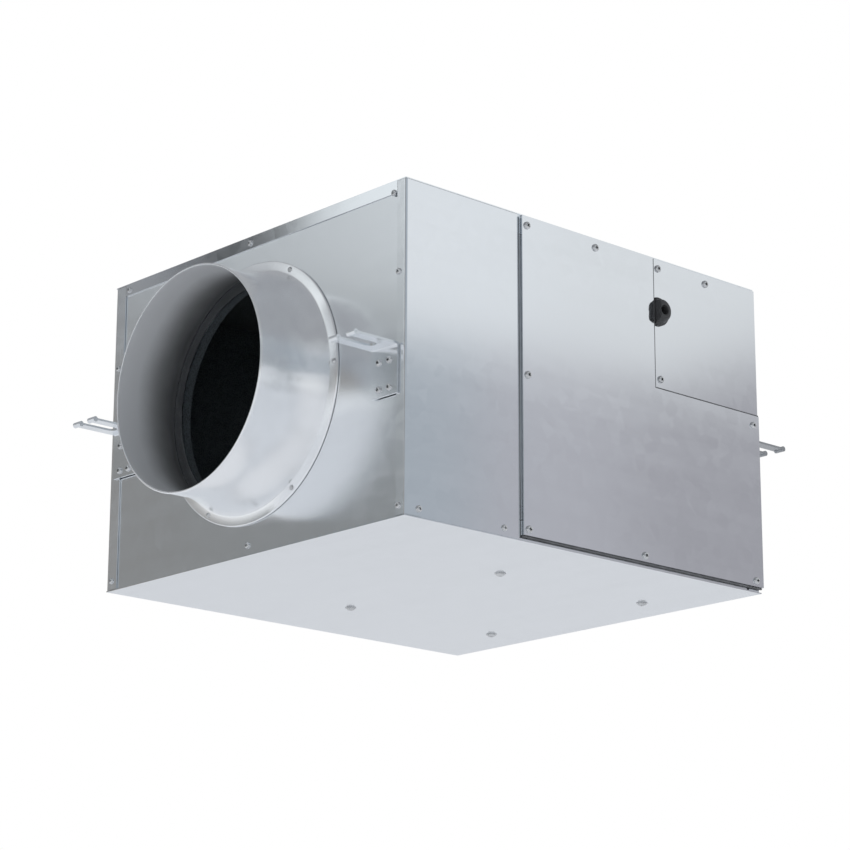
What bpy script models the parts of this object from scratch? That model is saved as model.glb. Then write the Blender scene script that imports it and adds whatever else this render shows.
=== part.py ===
"""Inline duct fan: a hung sheet-steel cabinet with a double-inlet centrifugal blower inside.

Metres, +Z up. The origin is the centre of the underside. The duct runs along X, with the intake collar
on the -X end and the discharge collar on the +X end. The access and electrical side is -Y.
Run with: blender --background --python part.py
"""

import math

import bmesh
import bpy
from mathutils import Matrix, Vector

MM = 0.001

# Cabinet
LENGTH = 542 * MM
WIDTH = 500 * MM
HEIGHT = 360 * MM
SHEET = 1.2 * MM
GAP = 0.3 * MM
FLANGE = 20 * MM
END_FACE = LENGTH / 2
SIDE_FACE = WIDTH / 2
END_PLATE = END_FACE - SHEET - GAP
INNER_SIDE = SIDE_FACE - SHEET - GAP
AXIS_Z = HEIGHT / 2
TOP_LIP = 14 * MM
CORNER_RADIUS = 2.5 * MM
END_RADIUS = 1.5 * MM
WALL_LOW = SHEET + GAP
WALL_HIGH = HEIGHT - SHEET - GAP
FLANGE_LENGTH = 496 * MM

# Duct collars
COLLAR_RADIUS = 124 * MM
COLLAR_WALL = 1.5 * MM
COLLAR_LENGTH = 87.2 * MM
COLLAR_BASE_RADIUS = 146 * MM
COLLAR_FLARE_RADIUS = 135 * MM
DUCT_HOLE_RADIUS = 121.5 * MM

# Hanger brackets
HANGER_Y = 221 * MM
HANGER_Z = 182 * MM
HANGER_WIDTH = 40 * MM
HANGER_REACH = 59 * MM
HANGER_SLOT = 14 * MM
HANGER_SLOT_DEPTH = 38 * MM
HANGER_FLANGE = 54 * MM
HANGER_SHEET = 2.3 * MM
HANGER_TIP_RADIUS = 3.2 * MM

# Access side
POST_X = -109 * MM
ACCESS_LEFT = -107 * MM
ACCESS_RIGHT = 270.5 * MM
ACCESS_LOW = 6 * MM
PANEL_TOP = 357.5 * MM
NOTCH_X = 97.5 * MM
NOTCH_Z = 206 * MM
COVER_LEFT = 99.3 * MM
COVER_LOW = 207.8 * MM
ACCESS_FACE = SIDE_FACE + 4 * MM
COVER_FACE = SIDE_FACE + 2 * MM
TRAY_BACK = SIDE_FACE - 1 * MM
ACCESS_SCREWS = ((-100, 347), (5, 347), (-100, 180), (-100, 12.5), (76, 12.5), (258, 12.5), (260, 194))
COVER_SCREWS = ((107, 347), (186, 347), (108.5, 218))
SCREW_HEAD_RADIUS = 4.2 * MM
SCREW_HEAD_HEIGHT = 2.6 * MM
SCREW_RADIUS = 2.0 * MM
SCREW_HOLE_RADIUS = 2.4 * MM
SCREW_END = 242 * MM

# Cable bush
BUSH_X = 105.5 * MM
BUSH_Z = 296 * MM
BUSH_RADIUS = 16.5 * MM
BUSH_NECK = 12.6 * MM
BUSH_HEIGHT = 12 * MM
BUSH_BORE = 5 * MM
BUSH_FLAT_X = 99.8 * MM

# Terminal box
BOX_LOW = Vector((95, -248.5, 212)) * MM
BOX_HIGH = Vector((248, -190, 336)) * MM
BOX_RIM = 13 * MM
LEAD_RADIUS = 3.5 * MM
GROMMET = Vector((118, -190, 240)) * MM
LEAD_ROUTE = (
    (75.0, -154.6, 160.0),
    (75.1, -160.0, 161.0),
    (80.0, -164.0, 174.0),
    (89.0, -165.0, 192.0),
    (100.0, -162.0, 211.0),
    (110.5, -160.0, 228.0),
    (116.5, -164.0, 237.5),
    (118.0, -174.0, 240.0),
    (118.0, -186.0, 240.0),
    (118.0, -198.0, 240.0),
    (120.0, -208.0, 239.5),
    (128.0, -215.5, 238.5),
    (138.0, -217.0, 238.0),
)
BLOCK_X = (140 * MM, 206 * MM)
BLOCK_Z = (226 * MM, 254 * MM)
BLOCK_DEPTH = 12 * MM
BLOCK_RIBS = 5
RIB_WIDTH = 2 * MM
RIB_RISE = 9 * MM
CAPACITOR_X = 135 * MM
CAPACITOR_Z = 305 * MM
CAPACITOR_RADIUS = 17.5 * MM
CAPACITOR_LENGTH = 68 * MM
CLIP_WIDTH = 12 * MM

# Blower
BLOWER_X = 75 * MM
BLOWER_Z = 129 * MM
WHEEL_RADIUS = 85 * MM
WHEEL_INNER = 69 * MM
WHEEL_HALF = 75 * MM
BLADES = 32
BLADE_SHEET = 1.2 * MM
BLADE_HOLLOW = math.radians(2)
BLADE_LEAN = math.radians(7.5)
SCROLL_START = math.radians(68)
SCROLL_FIRST = 95 * MM
SCROLL_LAST = 164 * MM
SCROLL_HALF = 92 * MM
SCROLL_SHEET = 1.2 * MM
OUTLET_X = 223.4 * MM
OUTLET_LOW = 112 * MM
INLET_HOLE = 76 * MM
INLET_THROAT = 70 * MM
PARTITION_X = 224 * MM
FOOT_SHEET = 2 * MM
FOOT_X = (-30 * MM, 222 * MM)
FOOT_Y = 93 * MM
FOOT_RISE = 38 * MM
BOLT_X = (-16 * MM, 209 * MM)
BOLT_Y = 124 * MM
BOLT_RADIUS = 3 * MM
BOLT_HEAD_RADIUS = 6.5 * MM
BOLT_HEAD_HEIGHT = 3 * MM

# Motor
SHAFT_RADIUS = 6 * MM
MOTOR_RADIUS = 48 * MM
MOTOR_WALL = 2.2 * MM
MOTOR_Y = (-146 * MM, -66 * MM)
CAP_DEPTH = 7 * MM
BEARING_RADIUS = 13 * MM
BEARING_WIDTH = 8 * MM
CORE_Y = (-128 * MM, -84 * MM)
ROTOR_RADIUS = 26 * MM
BRACKET_Y = -120 * MM
ARM_RADIUS = 90 * MM
ARM_FOOT = 104 * MM
ARM_WIDTH = 16 * MM
ARM_SHEET = 2.5 * MM

# Acoustic lining
LINING = 15 * MM

# Finishes: colour, roughness, metallic
GALVANISED = ((0.62, 0.64, 0.66), 0.34, 0.9)
PRESSED_STEEL = ((0.70, 0.71, 0.73), 0.30, 0.9)
PLATED_SCREW = ((0.55, 0.57, 0.58), 0.28, 1.0)
BLACK_RUBBER = ((0.03, 0.03, 0.03), 0.65, 0.0)
BLACK_LINING = ((0.012, 0.012, 0.013), 0.95, 0.0)
MOTOR_PAINT = ((0.10, 0.11, 0.12), 0.45, 0.3)
BRIGHT_STEEL = ((0.72, 0.73, 0.74), 0.22, 1.0)
CORE_STEEL = ((0.30, 0.29, 0.28), 0.50, 0.8)
CREAM_PLASTIC = ((0.80, 0.78, 0.70), 0.40, 0.0)
GREY_PLASTIC = ((0.42, 0.43, 0.44), 0.45, 0.0)

ALONG = {
    "+X": (0, math.pi / 2, 0),
    "-X": (0, -math.pi / 2, 0),
    "+Y": (-math.pi / 2, 0, 0),
    "-Y": (math.pi / 2, 0, 0),
    "+Z": (0, 0, 0),
    "-Z": (math.pi, 0, 0),
}

for old in list(bpy.data.objects):
    bpy.data.objects.remove(old, do_unlink=True)
fan = bpy.data.collections.new("inline_duct_fan")
cutters = bpy.data.collections.new("cutters")
bpy.context.scene.collection.children.link(fan)
bpy.context.scene.collection.children.link(cutters)


def add(name, mesh, finish=None):
    """Links a mesh as a part with its own material, or as a hidden helper when it has no finish."""
    obj = bpy.data.objects.new(name, mesh)
    if finish is None:
        obj.hide_render = True
        obj.display_type = "WIRE"
        cutters.objects.link(obj)
        return obj
    colour, roughness, metallic = finish
    material = bpy.data.materials.new(name)
    material.use_nodes = True
    surface = material.node_tree.nodes["Principled BSDF"]
    surface.inputs["Base Color"].default_value = (*colour, 1)
    surface.inputs["Roughness"].default_value = roughness
    surface.inputs["Metallic"].default_value = metallic
    mesh.materials.append(material)
    fan.objects.link(obj)
    return obj


def mesh_from(name, bm):
    mesh = bpy.data.meshes.new(name)
    bm.to_mesh(mesh)
    bm.free()
    return mesh


def boxes(name, pairs, finish=None):
    """One or more separate boxes in one mesh, each from its low and high corner."""
    bm = bmesh.new()
    for low, high in pairs:
        size = [abs(b - a) for a, b in zip(low, high, strict=True)]
        place = Matrix.Translation((Vector(low) + Vector(high)) / 2) @ Matrix.Diagonal((*size, 1))
        bmesh.ops.create_cube(bm, size=1, matrix=place)
    return add(name, mesh_from(name, bm), finish)


def box(name, low, high, finish=None):
    return boxes(name, [(low, high)], finish)


def cylinders(name, centres, radius, depth, axis, finish=None, segments=32):
    """Separate cylinders of one size in one mesh, centred on the given points."""
    bm = bmesh.new()
    turn = {"X": Matrix.Rotation(math.pi / 2, 4, "Y"), "Y": Matrix.Rotation(math.pi / 2, 4, "X")}
    for centre in centres:
        place = Matrix.Translation(centre) @ turn.get(axis, Matrix())
        bmesh.ops.create_cone(
            bm, cap_ends=True, segments=segments, radius1=radius, radius2=radius, depth=depth, matrix=place
        )
    return add(name, mesh_from(name, bm), finish)


def boolean(obj, helper, operation):
    step = obj.modifiers.new(f"{operation.lower()} {helper.name}", "BOOLEAN")
    step.operation = operation
    step.object = helper
    step.solver = "EXACT"
    return obj


def cut(obj, *helpers):
    for helper in helpers:
        boolean(obj, helper, "DIFFERENCE")
    return obj


def join(obj, *helpers):
    for helper in helpers:
        boolean(obj, helper, "UNION")
    return obj


def rounded(path, radius, steps=4):
    """The path with each inner corner turned into an arc."""
    points = [Vector(p) for p in path]
    out = [points[0]]
    for before, corner, after in zip(points, points[1:], points[2:], strict=False):
        start = (before - corner).normalized()
        end = (after - corner).normalized()
        half = start.angle(end) / 2
        reach = radius / math.tan(half)
        centre = corner + (start + end).normalized() * (radius / math.sin(half))
        first = corner + start * reach - centre
        last = corner + end * reach - centre
        for i in range(steps + 1):
            out.append(centre + first.slerp(last, i / steps) * radius)
    out.append(points[-1])
    return [tuple(p) for p in out]


def folded(name, path, low, high, plane, finish=None, sheet=SHEET, side=-1):
    """Bent sheet: a strip drawn as a path in one plane, extruded across it and thickened to one side."""
    order = {"XY": (0, 1, 2), "YZ": (2, 0, 1), "XZ": (0, 2, 1)}[plane]
    bm = bmesh.new()
    flat = [(a, b, low) for a, b in path]
    points = [bm.verts.new([p[i] for i in order]) for p in flat]
    edges = [bm.edges.new(pair) for pair in zip(points, points[1:], strict=False)]
    raised = bmesh.ops.extrude_edge_only(bm, edges=edges)["geom"]
    shift = [(0, 0, high - low)[i] for i in order]
    bmesh.ops.translate(bm, vec=shift, verts=[g for g in raised if isinstance(g, bmesh.types.BMVert)])
    obj = add(name, mesh_from(name, bm), finish)
    shell = obj.modifiers.new("sheet", "SOLIDIFY")
    shell.thickness = sheet
    shell.offset = side
    shell.use_even_offset = True
    return obj


def flat_solid(name, outline, low, high, plane, finish=None):
    """A flat outline given a thickness: a filled 2D curve with an extrude, made a mesh."""
    curve = bpy.data.curves.new(name, "CURVE")
    curve.dimensions = "2D"
    curve.fill_mode = "BOTH"
    curve.extrude = (high - low) / 2
    spline = curve.splines.new("POLY")
    spline.points.add(len(outline) - 1)
    for point, (a, b) in zip(spline.points, outline, strict=True):
        point.co = (a, b, 0, 1)
    spline.use_cyclic_u = True
    guide = bpy.data.objects.new(name, curve)
    bpy.context.scene.collection.objects.link(guide)
    bpy.context.view_layer.update()
    mesh = bpy.data.meshes.new_from_object(guide.evaluated_get(bpy.context.evaluated_depsgraph_get()))
    bpy.data.objects.remove(guide, do_unlink=True)
    bm = bmesh.new()
    bm.from_mesh(mesh)
    bmesh.ops.remove_doubles(bm, verts=bm.verts, dist=0.01 * MM)
    order = {"XY": (0, 1, 2), "YZ": (2, 0, 1), "XZ": (0, 2, 1)}[plane]
    for vert in bm.verts:
        local = (vert.co.x, vert.co.y, vert.co.z + (low + high) / 2)
        vert.co = [local[i] for i in order]
    bmesh.ops.recalc_face_normals(bm, faces=bm.faces)
    bm.to_mesh(mesh)
    bm.free()
    mesh.name = name
    return add(name, mesh, finish)


def turned(name, profile, place, axis, finish=None, steps=32, closed=True):
    """A turned piece: a profile of (radius, height) run down its outer side, spun about its own Z."""
    bm = bmesh.new()
    points = [bm.verts.new((radius, 0, height)) for radius, height in profile]
    for pair in zip(points, points[1:], strict=False):
        bm.edges.new(pair)
    if closed:
        bm.edges.new((points[-1], points[0]))
    obj = add(name, mesh_from(name, bm), finish)
    spin = obj.modifiers.new("turn", "SCREW")
    spin.axis = "Z"
    spin.angle = 2 * math.pi
    spin.steps = steps
    spin.render_steps = steps
    spin.use_merge_vertices = True
    spin.merge_threshold = 0.00001
    spin.use_smooth_shade = finish is not None
    obj.location = place
    obj.rotation_euler = ALONG[axis]
    return obj


def ring(name, inner, outer, low, high, place, axis, finish=None, steps=32):
    profile = ((outer, high), (outer, low), (inner, low), (inner, high))
    return turned(name, profile, place, axis, finish, steps)


def side_points(pairs, y):
    return [Vector((x * MM, y, z * MM)) for x, z in pairs]


# Cabinet -----------------------------------------------------------------------------------------


def make_bottom_panel():
    panel = box("bottom_panel", (-END_FACE, -SIDE_FACE, 0), (END_FACE, SIDE_FACE, SHEET), GALVANISED)
    half = FLANGE_LENGTH / 2
    inner = END_PLATE - SHEET - GAP
    rise = (SHEET / 2, FLANGE + 2 * MM)
    flanges = [
        ((-half, INNER_SIDE - SHEET, rise[0]), (half, INNER_SIDE, rise[1])),
        ((-half, -INNER_SIDE, rise[0]), (half, -INNER_SIDE + SHEET, rise[1])),
        ((inner - SHEET, -SIDE_FACE + 5 * MM, rise[0]), (inner, SIDE_FACE - 5 * MM, FLANGE)),
        ((-inner, -SIDE_FACE + 5 * MM, rise[0]), (-inner + SHEET, SIDE_FACE - 5 * MM, FLANGE)),
    ]
    join(panel, boxes("bottom_flanges", flanges))
    cut(panel, bolt_holes, access_holes)


def make_top_panel():
    low, high = (-END_FACE, -SIDE_FACE, HEIGHT - SHEET), (END_FACE, SIDE_FACE, HEIGHT)
    panel = box("top_panel", low, high, GALVANISED)
    half = FLANGE_LENGTH / 2
    drop = (HEIGHT - FLANGE - 2 * MM, HEIGHT - SHEET / 2)
    lip = (-236.7 * MM, 231.7 * MM)
    flanges = [
        ((-half, INNER_SIDE - SHEET, drop[0]), (half, INNER_SIDE, drop[1])),
        ((-half, -INNER_SIDE, drop[0]), (half, -INNER_SIDE + SHEET, drop[1])),
        ((END_FACE - SHEET, lip[0], HEIGHT - TOP_LIP), (END_FACE, lip[1], HEIGHT)),
        ((-END_FACE, lip[0], HEIGHT - TOP_LIP), (-END_FACE + SHEET, lip[1], HEIGHT)),
    ]
    join(panel, boxes("top_flanges", flanges))
    cut(panel, access_holes, cover_holes)


def make_side_panels():
    rear = [(-END_FACE, 232 * MM), (-END_FACE, SIDE_FACE), (END_FACE, SIDE_FACE), (END_FACE, 232 * MM)]
    folded("rear_side_panel", rounded(rear, CORNER_RADIUS), WALL_LOW, WALL_HIGH, "XY", GALVANISED)
    front = [(-END_FACE, -237 * MM), (-END_FACE, -SIDE_FACE), (POST_X - 1 * MM, -SIDE_FACE)]
    folded("front_side_panel", rounded(front, CORNER_RADIUS), WALL_LOW, WALL_HIGH, "XY", GALVANISED, side=1)
    post = [(-125 * MM, -INNER_SIDE), (-92 * MM, -INNER_SIDE), (-92 * MM, -INNER_SIDE + 15 * MM)]
    post_low = FLANGE + 2.5 * MM
    cut(folded("access_post", post, post_low, HEIGHT - post_low, "XY", GALVANISED, side=1), access_holes)


def make_end_panels():
    hole = cylinders("duct_holes", [(0, 0, AXIS_Z)], DUCT_HOLE_RADIUS, LENGTH * 1.2, "X", segments=64)
    for name, sign in (("intake_end_panel", -1), ("discharge_end_panel", 1)):
        path = [
            (sign * 251 * MM, sign * INNER_SIDE),
            (sign * END_PLATE, sign * INNER_SIDE),
            (sign * END_PLATE, -sign * INNER_SIDE),
            (sign * 251 * MM, -sign * INNER_SIDE),
        ]
        panel = folded(name, rounded(path, END_RADIUS), WALL_LOW, WALL_HIGH, "XY", GALVANISED)
        cut(panel, hole, access_holes)


def make_partition():
    partition = box(
        "outlet_partition",
        (PARTITION_X, -236 * MM, WALL_LOW),
        (PARTITION_X + SHEET, 246.5 * MM, WALL_HIGH),
        GALVANISED,
    )
    mouth = SCROLL_HALF - SCROLL_SHEET
    top = BLOWER_Z + SCROLL_LAST - SCROLL_SHEET
    x = (PARTITION_X - 10 * MM, PARTITION_X + 10 * MM)
    opening = box("outlet_opening", (x[0], -mouth, OUTLET_LOW), (x[1], mouth, top))
    corner_low = (x[0], -SIDE_FACE, BOX_LOW.z - 14 * MM)
    corner = box("terminal_box_corner", corner_low, (x[1], BOX_HIGH.y + 1.5 * MM, HEIGHT))
    cut(partition, opening, corner)


def collar_profile():
    """The collar's wall from its beaded rim, down the outer side, to the base flange, and back inside."""
    wall = COLLAR_WALL
    straight = 0.42 * COLLAR_LENGTH
    flare = COLLAR_FLARE_RADIUS - COLLAR_RADIUS
    run = COLLAR_LENGTH - straight - 3.5 * MM
    outer = [(COLLAR_RADIUS + 0.9 * MM, COLLAR_LENGTH), (COLLAR_RADIUS + 0.9 * MM, COLLAR_LENGTH - 3 * MM)]
    outer.append((COLLAR_RADIUS, COLLAR_LENGTH - 4 * MM))
    for i in range(5):
        share = i / 4
        radius = COLLAR_RADIUS + flare * (1 - math.cos(share * math.pi / 2))
        outer.append((radius, COLLAR_LENGTH - straight - run * share))
    outer.append((COLLAR_BASE_RADIUS - 0.8 * MM, 3.2 * MM))
    outer.append((COLLAR_BASE_RADIUS, 2.4 * MM))
    outer.append((COLLAR_BASE_RADIUS, 0))
    inner = [(COLLAR_BASE_RADIUS - wall, 0), (COLLAR_BASE_RADIUS - wall, 1.7 * MM)]
    for i in range(4, -1, -1):
        share = i / 4
        radius = COLLAR_RADIUS - wall + flare * (1 - math.cos(share * math.pi / 2))
        inner.append((radius, COLLAR_LENGTH - straight - run * share - 1.8 * MM * share))
    inner.append((COLLAR_RADIUS - wall, COLLAR_LENGTH))
    return outer + inner


def make_collars():
    for name, axis, sign in (("intake_collar", "-X", -1), ("discharge_collar", "+X", 1)):
        place = (sign * (END_PLATE + GAP), 0, AXIS_Z)
        turned(name, collar_profile(), place, axis, PRESSED_STEEL, steps=48)


def make_hanger_brackets():
    for end, sx in (("intake", -1), ("discharge", 1)):
        for side, sy in (("front", -1), ("rear", 1)):
            name = f"hanger_bracket_{end}_{side}"
            foot = END_FACE + GAP
            tip = foot + HANGER_REACH
            path = [(sx * foot, HANGER_Z - HANGER_FLANGE), (sx * foot, HANGER_Z), (sx * tip, HANGER_Z)]
            low = sy * HANGER_Y - HANGER_WIDTH / 2
            bracket = folded(
                name, path, low, low + HANGER_WIDTH, "XZ", PRESSED_STEEL, sheet=HANGER_SHEET, side=sx
            )
            centre = (sx * (tip - HANGER_TIP_RADIUS / 2), sy * HANGER_Y, HANGER_Z - HANGER_SHEET / 2)
            roll = cylinders(
                f"{name}_roll", [centre], HANGER_TIP_RADIUS, HANGER_WIDTH - 0.4 * MM, "Y", segments=16
            )
            inner = tip - HANGER_SLOT_DEPTH
            slot = box(
                f"{name}_slot",
                (sx * inner, sy * HANGER_Y - HANGER_SLOT / 2, HANGER_Z - 10 * MM),
                (sx * (tip + 10 * MM), sy * HANGER_Y + HANGER_SLOT / 2, HANGER_Z + 10 * MM),
            )
            end_round = cylinders(
                f"{name}_slot_end",
                [(sx * inner, sy * HANGER_Y, HANGER_Z)],
                HANGER_SLOT / 2 - 0.02 * MM,
                20 * MM,
                "Z",
                segments=16,
            )
            cut(join(bracket, roll), slot, end_round)


# Access side -------------------------------------------------------------------------------------


def tray(name, outline, inset, face, finish):
    """A shallow folded panel: a flat outline with its edges turned back, open behind."""
    solid = flat_solid(name, outline, -face, -TRAY_BACK, "XZ", finish)
    hollow = flat_solid(f"{name}_hollow", inset, -face + SHEET, -TRAY_BACK + 5 * MM, "XZ")
    return cut(solid, hollow)


def make_access_panel():
    left, right, low, top = ACCESS_LEFT, ACCESS_RIGHT, ACCESS_LOW, PANEL_TOP
    t = SHEET
    outline = [(left, low), (right, low), (right, NOTCH_Z), (NOTCH_X, NOTCH_Z), (NOTCH_X, top), (left, top)]
    inset = [
        (left + t, low + t),
        (right - t, low + t),
        (right - t, NOTCH_Z - t),
        (NOTCH_X - t, NOTCH_Z - t),
        (NOTCH_X - t, top - t),
        (left + t, top - t),
    ]
    panel = tray("access_panel", outline, inset, ACCESS_FACE, GALVANISED)
    cut(panel, access_holes)
    pad = [(-90, 24), (248, 24), (248, 196), (80, 196), (80, 336), (-90, 336)]
    pad = [(x * MM, z * MM) for x, z in pad]
    back = -ACCESS_FACE + SHEET + GAP
    flat_solid("lining_access", pad, back, back + LINING, "XZ", BLACK_LINING)


def make_electrical_cover():
    t = SHEET
    outline = [
        (COVER_LEFT, COVER_LOW),
        (ACCESS_RIGHT, COVER_LOW),
        (ACCESS_RIGHT, PANEL_TOP),
        (COVER_LEFT, PANEL_TOP),
    ]
    inset = [
        (COVER_LEFT + t, COVER_LOW + t),
        (ACCESS_RIGHT - t, COVER_LOW + t),
        (ACCESS_RIGHT - t, PANEL_TOP - t),
        (COVER_LEFT + t, PANEL_TOP - t),
    ]
    cover = tray("electrical_cover", outline, inset, COVER_FACE, GALVANISED)
    place = (BUSH_X, -SIDE_FACE, BUSH_Z)
    notch = cylinders("bush_notch", [place], BUSH_NECK + 0.4 * MM, 30 * MM, "Y", segments=40)
    slot = box(
        "bush_slot",
        (COVER_LEFT - 5 * MM, -SIDE_FACE - 15 * MM, BUSH_Z - BUSH_NECK - 2 * MM),
        (COVER_LEFT + SHEET + GAP, -SIDE_FACE + 15 * MM, BUSH_Z + BUSH_NECK + 2 * MM),
    )
    cut(cover, cover_holes, notch, slot)


def make_cable_bush():
    """A rubber bush with a flat side, gripping the edge of its notch in the cover."""
    place = (BUSH_X, -COVER_FACE, BUSH_Z)
    groove = -SHEET - GAP
    profile = [
        (BUSH_BORE + 1.5 * MM, BUSH_HEIGHT),
        (BUSH_RADIUS - 5 * MM, BUSH_HEIGHT - 0.8 * MM),
        (BUSH_RADIUS - 1.5 * MM, BUSH_HEIGHT - 6 * MM),
        (BUSH_RADIUS, BUSH_HEIGHT - 8 * MM),
        (BUSH_RADIUS, GAP),
        (BUSH_NECK, GAP),
        (BUSH_NECK, groove),
        (BUSH_NECK + 1.6 * MM, groove),
        (BUSH_NECK + 1.6 * MM, groove - 1.2 * MM),
        (BUSH_BORE, groove - 1.2 * MM),
        (BUSH_BORE, BUSH_HEIGHT - 2 * MM),
    ]
    bush = turned("cable_bush", profile, place, "-Y", BLACK_RUBBER, steps=32)
    reach = 50 * MM
    low = (BUSH_FLAT_X - reach, -SIDE_FACE - reach, BUSH_Z - reach)
    flat = box("bush_flat", low, (BUSH_FLAT_X, -SIDE_FACE + reach, BUSH_Z + reach))
    cut(bush, flat)


def make_screws(prefix, places, face):
    for number, place in enumerate(side_points(places, -face), 1):
        profile = [
            (0, SCREW_HEAD_HEIGHT + GAP),
            (SCREW_HEAD_RADIUS * 0.62, SCREW_HEAD_HEIGHT * 0.86 + GAP),
            (SCREW_HEAD_RADIUS, SCREW_HEAD_HEIGHT * 0.45 + GAP),
            (SCREW_HEAD_RADIUS, GAP),
            (SCREW_RADIUS, GAP),
            (SCREW_RADIUS, SCREW_END - face),
            (0, SCREW_END - face - 1 * MM),
        ]
        turned(f"{prefix}_{number}", profile, place, "-Y", PLATED_SCREW, steps=12, closed=False)


def make_terminal_box():
    low, high = BOX_LOW, BOX_HIGH
    t = SHEET
    case = box("terminal_box", low, high, GALVANISED)
    hollow = box("terminal_box_hollow", low + Vector((t, -10 * MM, t)), high - Vector((t, t, t)))
    rim_y = (-INNER_SIDE, -INNER_SIDE + t)
    rim_low = (low.x - BOX_RIM, rim_y[0], low.z - BOX_RIM)
    rim = box("terminal_box_rim", rim_low, (low.x + t / 2, rim_y[1], HEIGHT - FLANGE - 2.5 * MM))
    sill_low = (low.x - BOX_RIM / 2, rim_y[0], low.z - BOX_RIM)
    sill = box("terminal_box_sill", sill_low, (high.x, rim_y[1], low.z + BOX_RIM))
    lead = cylinders("lead_hole", [GROMMET], 7 * MM, 10 * MM, "Y", segments=24)
    cut(join(cut(case, hollow), rim, sill), lead, cover_holes)


def make_electrics():
    floor = BOX_HIGH.y - SHEET - GAP
    low, high = Vector((BLOCK_X[0], floor - BLOCK_DEPTH, BLOCK_Z[0])), Vector((BLOCK_X[1], floor, BLOCK_Z[1]))
    block = box("terminal_block", low, high, CREAM_PLASTIC)
    pitch = (high.x - low.x - 1 * MM - RIB_WIDTH) / (BLOCK_RIBS - 1)
    ribs = []
    for number in range(BLOCK_RIBS):
        x = low.x + 0.5 * MM + number * pitch
        ribs.append(((x, low.y - RIB_RISE, low.z + 1 * MM), (x + RIB_WIDTH, floor - 6 * MM, high.z - 1 * MM)))
    join(block, boxes("terminal_ribs", ribs))
    radius, length = CAPACITOR_RADIUS, CAPACITOR_LENGTH
    can = Vector((CAPACITOR_X, floor - radius - 2 * MM, CAPACITOR_Z))
    profile = [(0, length), (radius - 1.5 * MM, length), (radius, length - 1.5 * MM), (radius, 0), (0, 0)]
    turned("capacitor", profile, can, "+X", GREY_PLASTIC, steps=24, closed=False)
    middle = can + Vector((28 * MM, 0, 0))
    inner, outer = radius + GAP, radius + 1.5 * MM
    clip = ring("capacitor_clip", inner, outer, 0, CLIP_WIDTH, middle, "+X", BRIGHT_STEEL, 24)
    tab_low = middle + Vector((0, radius, -30 * MM))
    tab = box("clip_tab", tab_low, middle + Vector((CLIP_WIDTH, outer, -4 * MM)))
    mouth_low = middle + Vector((-8 * MM, -30 * MM, -12 * MM))
    mouth = box("clip_mouth", mouth_low, middle + Vector((22 * MM, -8 * MM, 12 * MM)))
    cut(join(clip, tab), mouth)
    place = GROMMET - Vector((0, SHEET, 0))
    profile = [
        (9 * MM, 3 * MM + SHEET),
        (9 * MM, SHEET + GAP),
        (6.6 * MM, SHEET + GAP),
        (6.6 * MM, -GAP),
        (9 * MM, -GAP),
        (9 * MM, -3 * MM),
        (LEAD_RADIUS + GAP, -3 * MM),
        (LEAD_RADIUS + GAP, 3 * MM + SHEET),
    ]
    turned("lead_grommet", profile, place, "+Y", BLACK_RUBBER, steps=24)


def make_motor_lead():
    """The lead from the motor's outer cap, up past the scroll and through the grommet to the terminals."""
    curve = bpy.data.curves.new("motor_lead", "CURVE")
    curve.dimensions = "3D"
    curve.bevel_depth = LEAD_RADIUS
    curve.bevel_resolution = 2
    curve.use_fill_caps = True
    points = [Vector(p) * MM for p in LEAD_ROUTE]
    smooth = []
    for i in range(len(points) - 1):
        a, b = points[i], points[i + 1]
        before = points[i - 1] if i > 0 else a * 2 - b
        after = points[i + 2] if i + 2 < len(points) else b * 2 - a
        for step in range(2):
            t = step / 2
            bend = (a * 2 + (b - before) * t + (before * 2 - a * 5 + b * 4 - after) * t**2)
            smooth.append((bend + (a * 3 - before - b * 3 + after) * t**3) / 2)
    smooth.append(points[-1])
    spline = curve.splines.new("POLY")
    spline.points.add(len(smooth) - 1)
    for point, place in zip(spline.points, smooth, strict=True):
        point.co = (*place, 1)
    lead = bpy.data.objects.new("motor_lead", curve)
    material = bpy.data.materials.new("motor_lead")
    material.use_nodes = True
    material.node_tree.nodes["Principled BSDF"].inputs["Base Color"].default_value = (0.02, 0.02, 0.02, 1)
    curve.materials.append(material)
    fan.objects.link(lead)


# Blower ------------------------------------------------------------------------------------------


def scroll_radius(angle):
    share = (angle - SCROLL_START) / (2 * math.pi - SCROLL_START)
    return SCROLL_FIRST + (SCROLL_LAST - SCROLL_FIRST) * share


def scroll_path(offset=0.0, steps=30):
    """The scroll in X and Z: the outlet's lower lip, the cut-off, the spiral, and the outlet's top."""
    path = [(OUTLET_X, OUTLET_LOW - offset), (OUTLET_X - 8 * MM, OUTLET_LOW - offset)]
    for i in range(steps + 1):
        angle = SCROLL_START + (2 * math.pi - SCROLL_START) * i / steps
        radius = scroll_radius(angle) + offset
        path.append((BLOWER_X + radius * math.sin(angle), BLOWER_Z + radius * math.cos(angle)))
    path.append((OUTLET_X, BLOWER_Z + SCROLL_LAST + offset))
    return path


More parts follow.
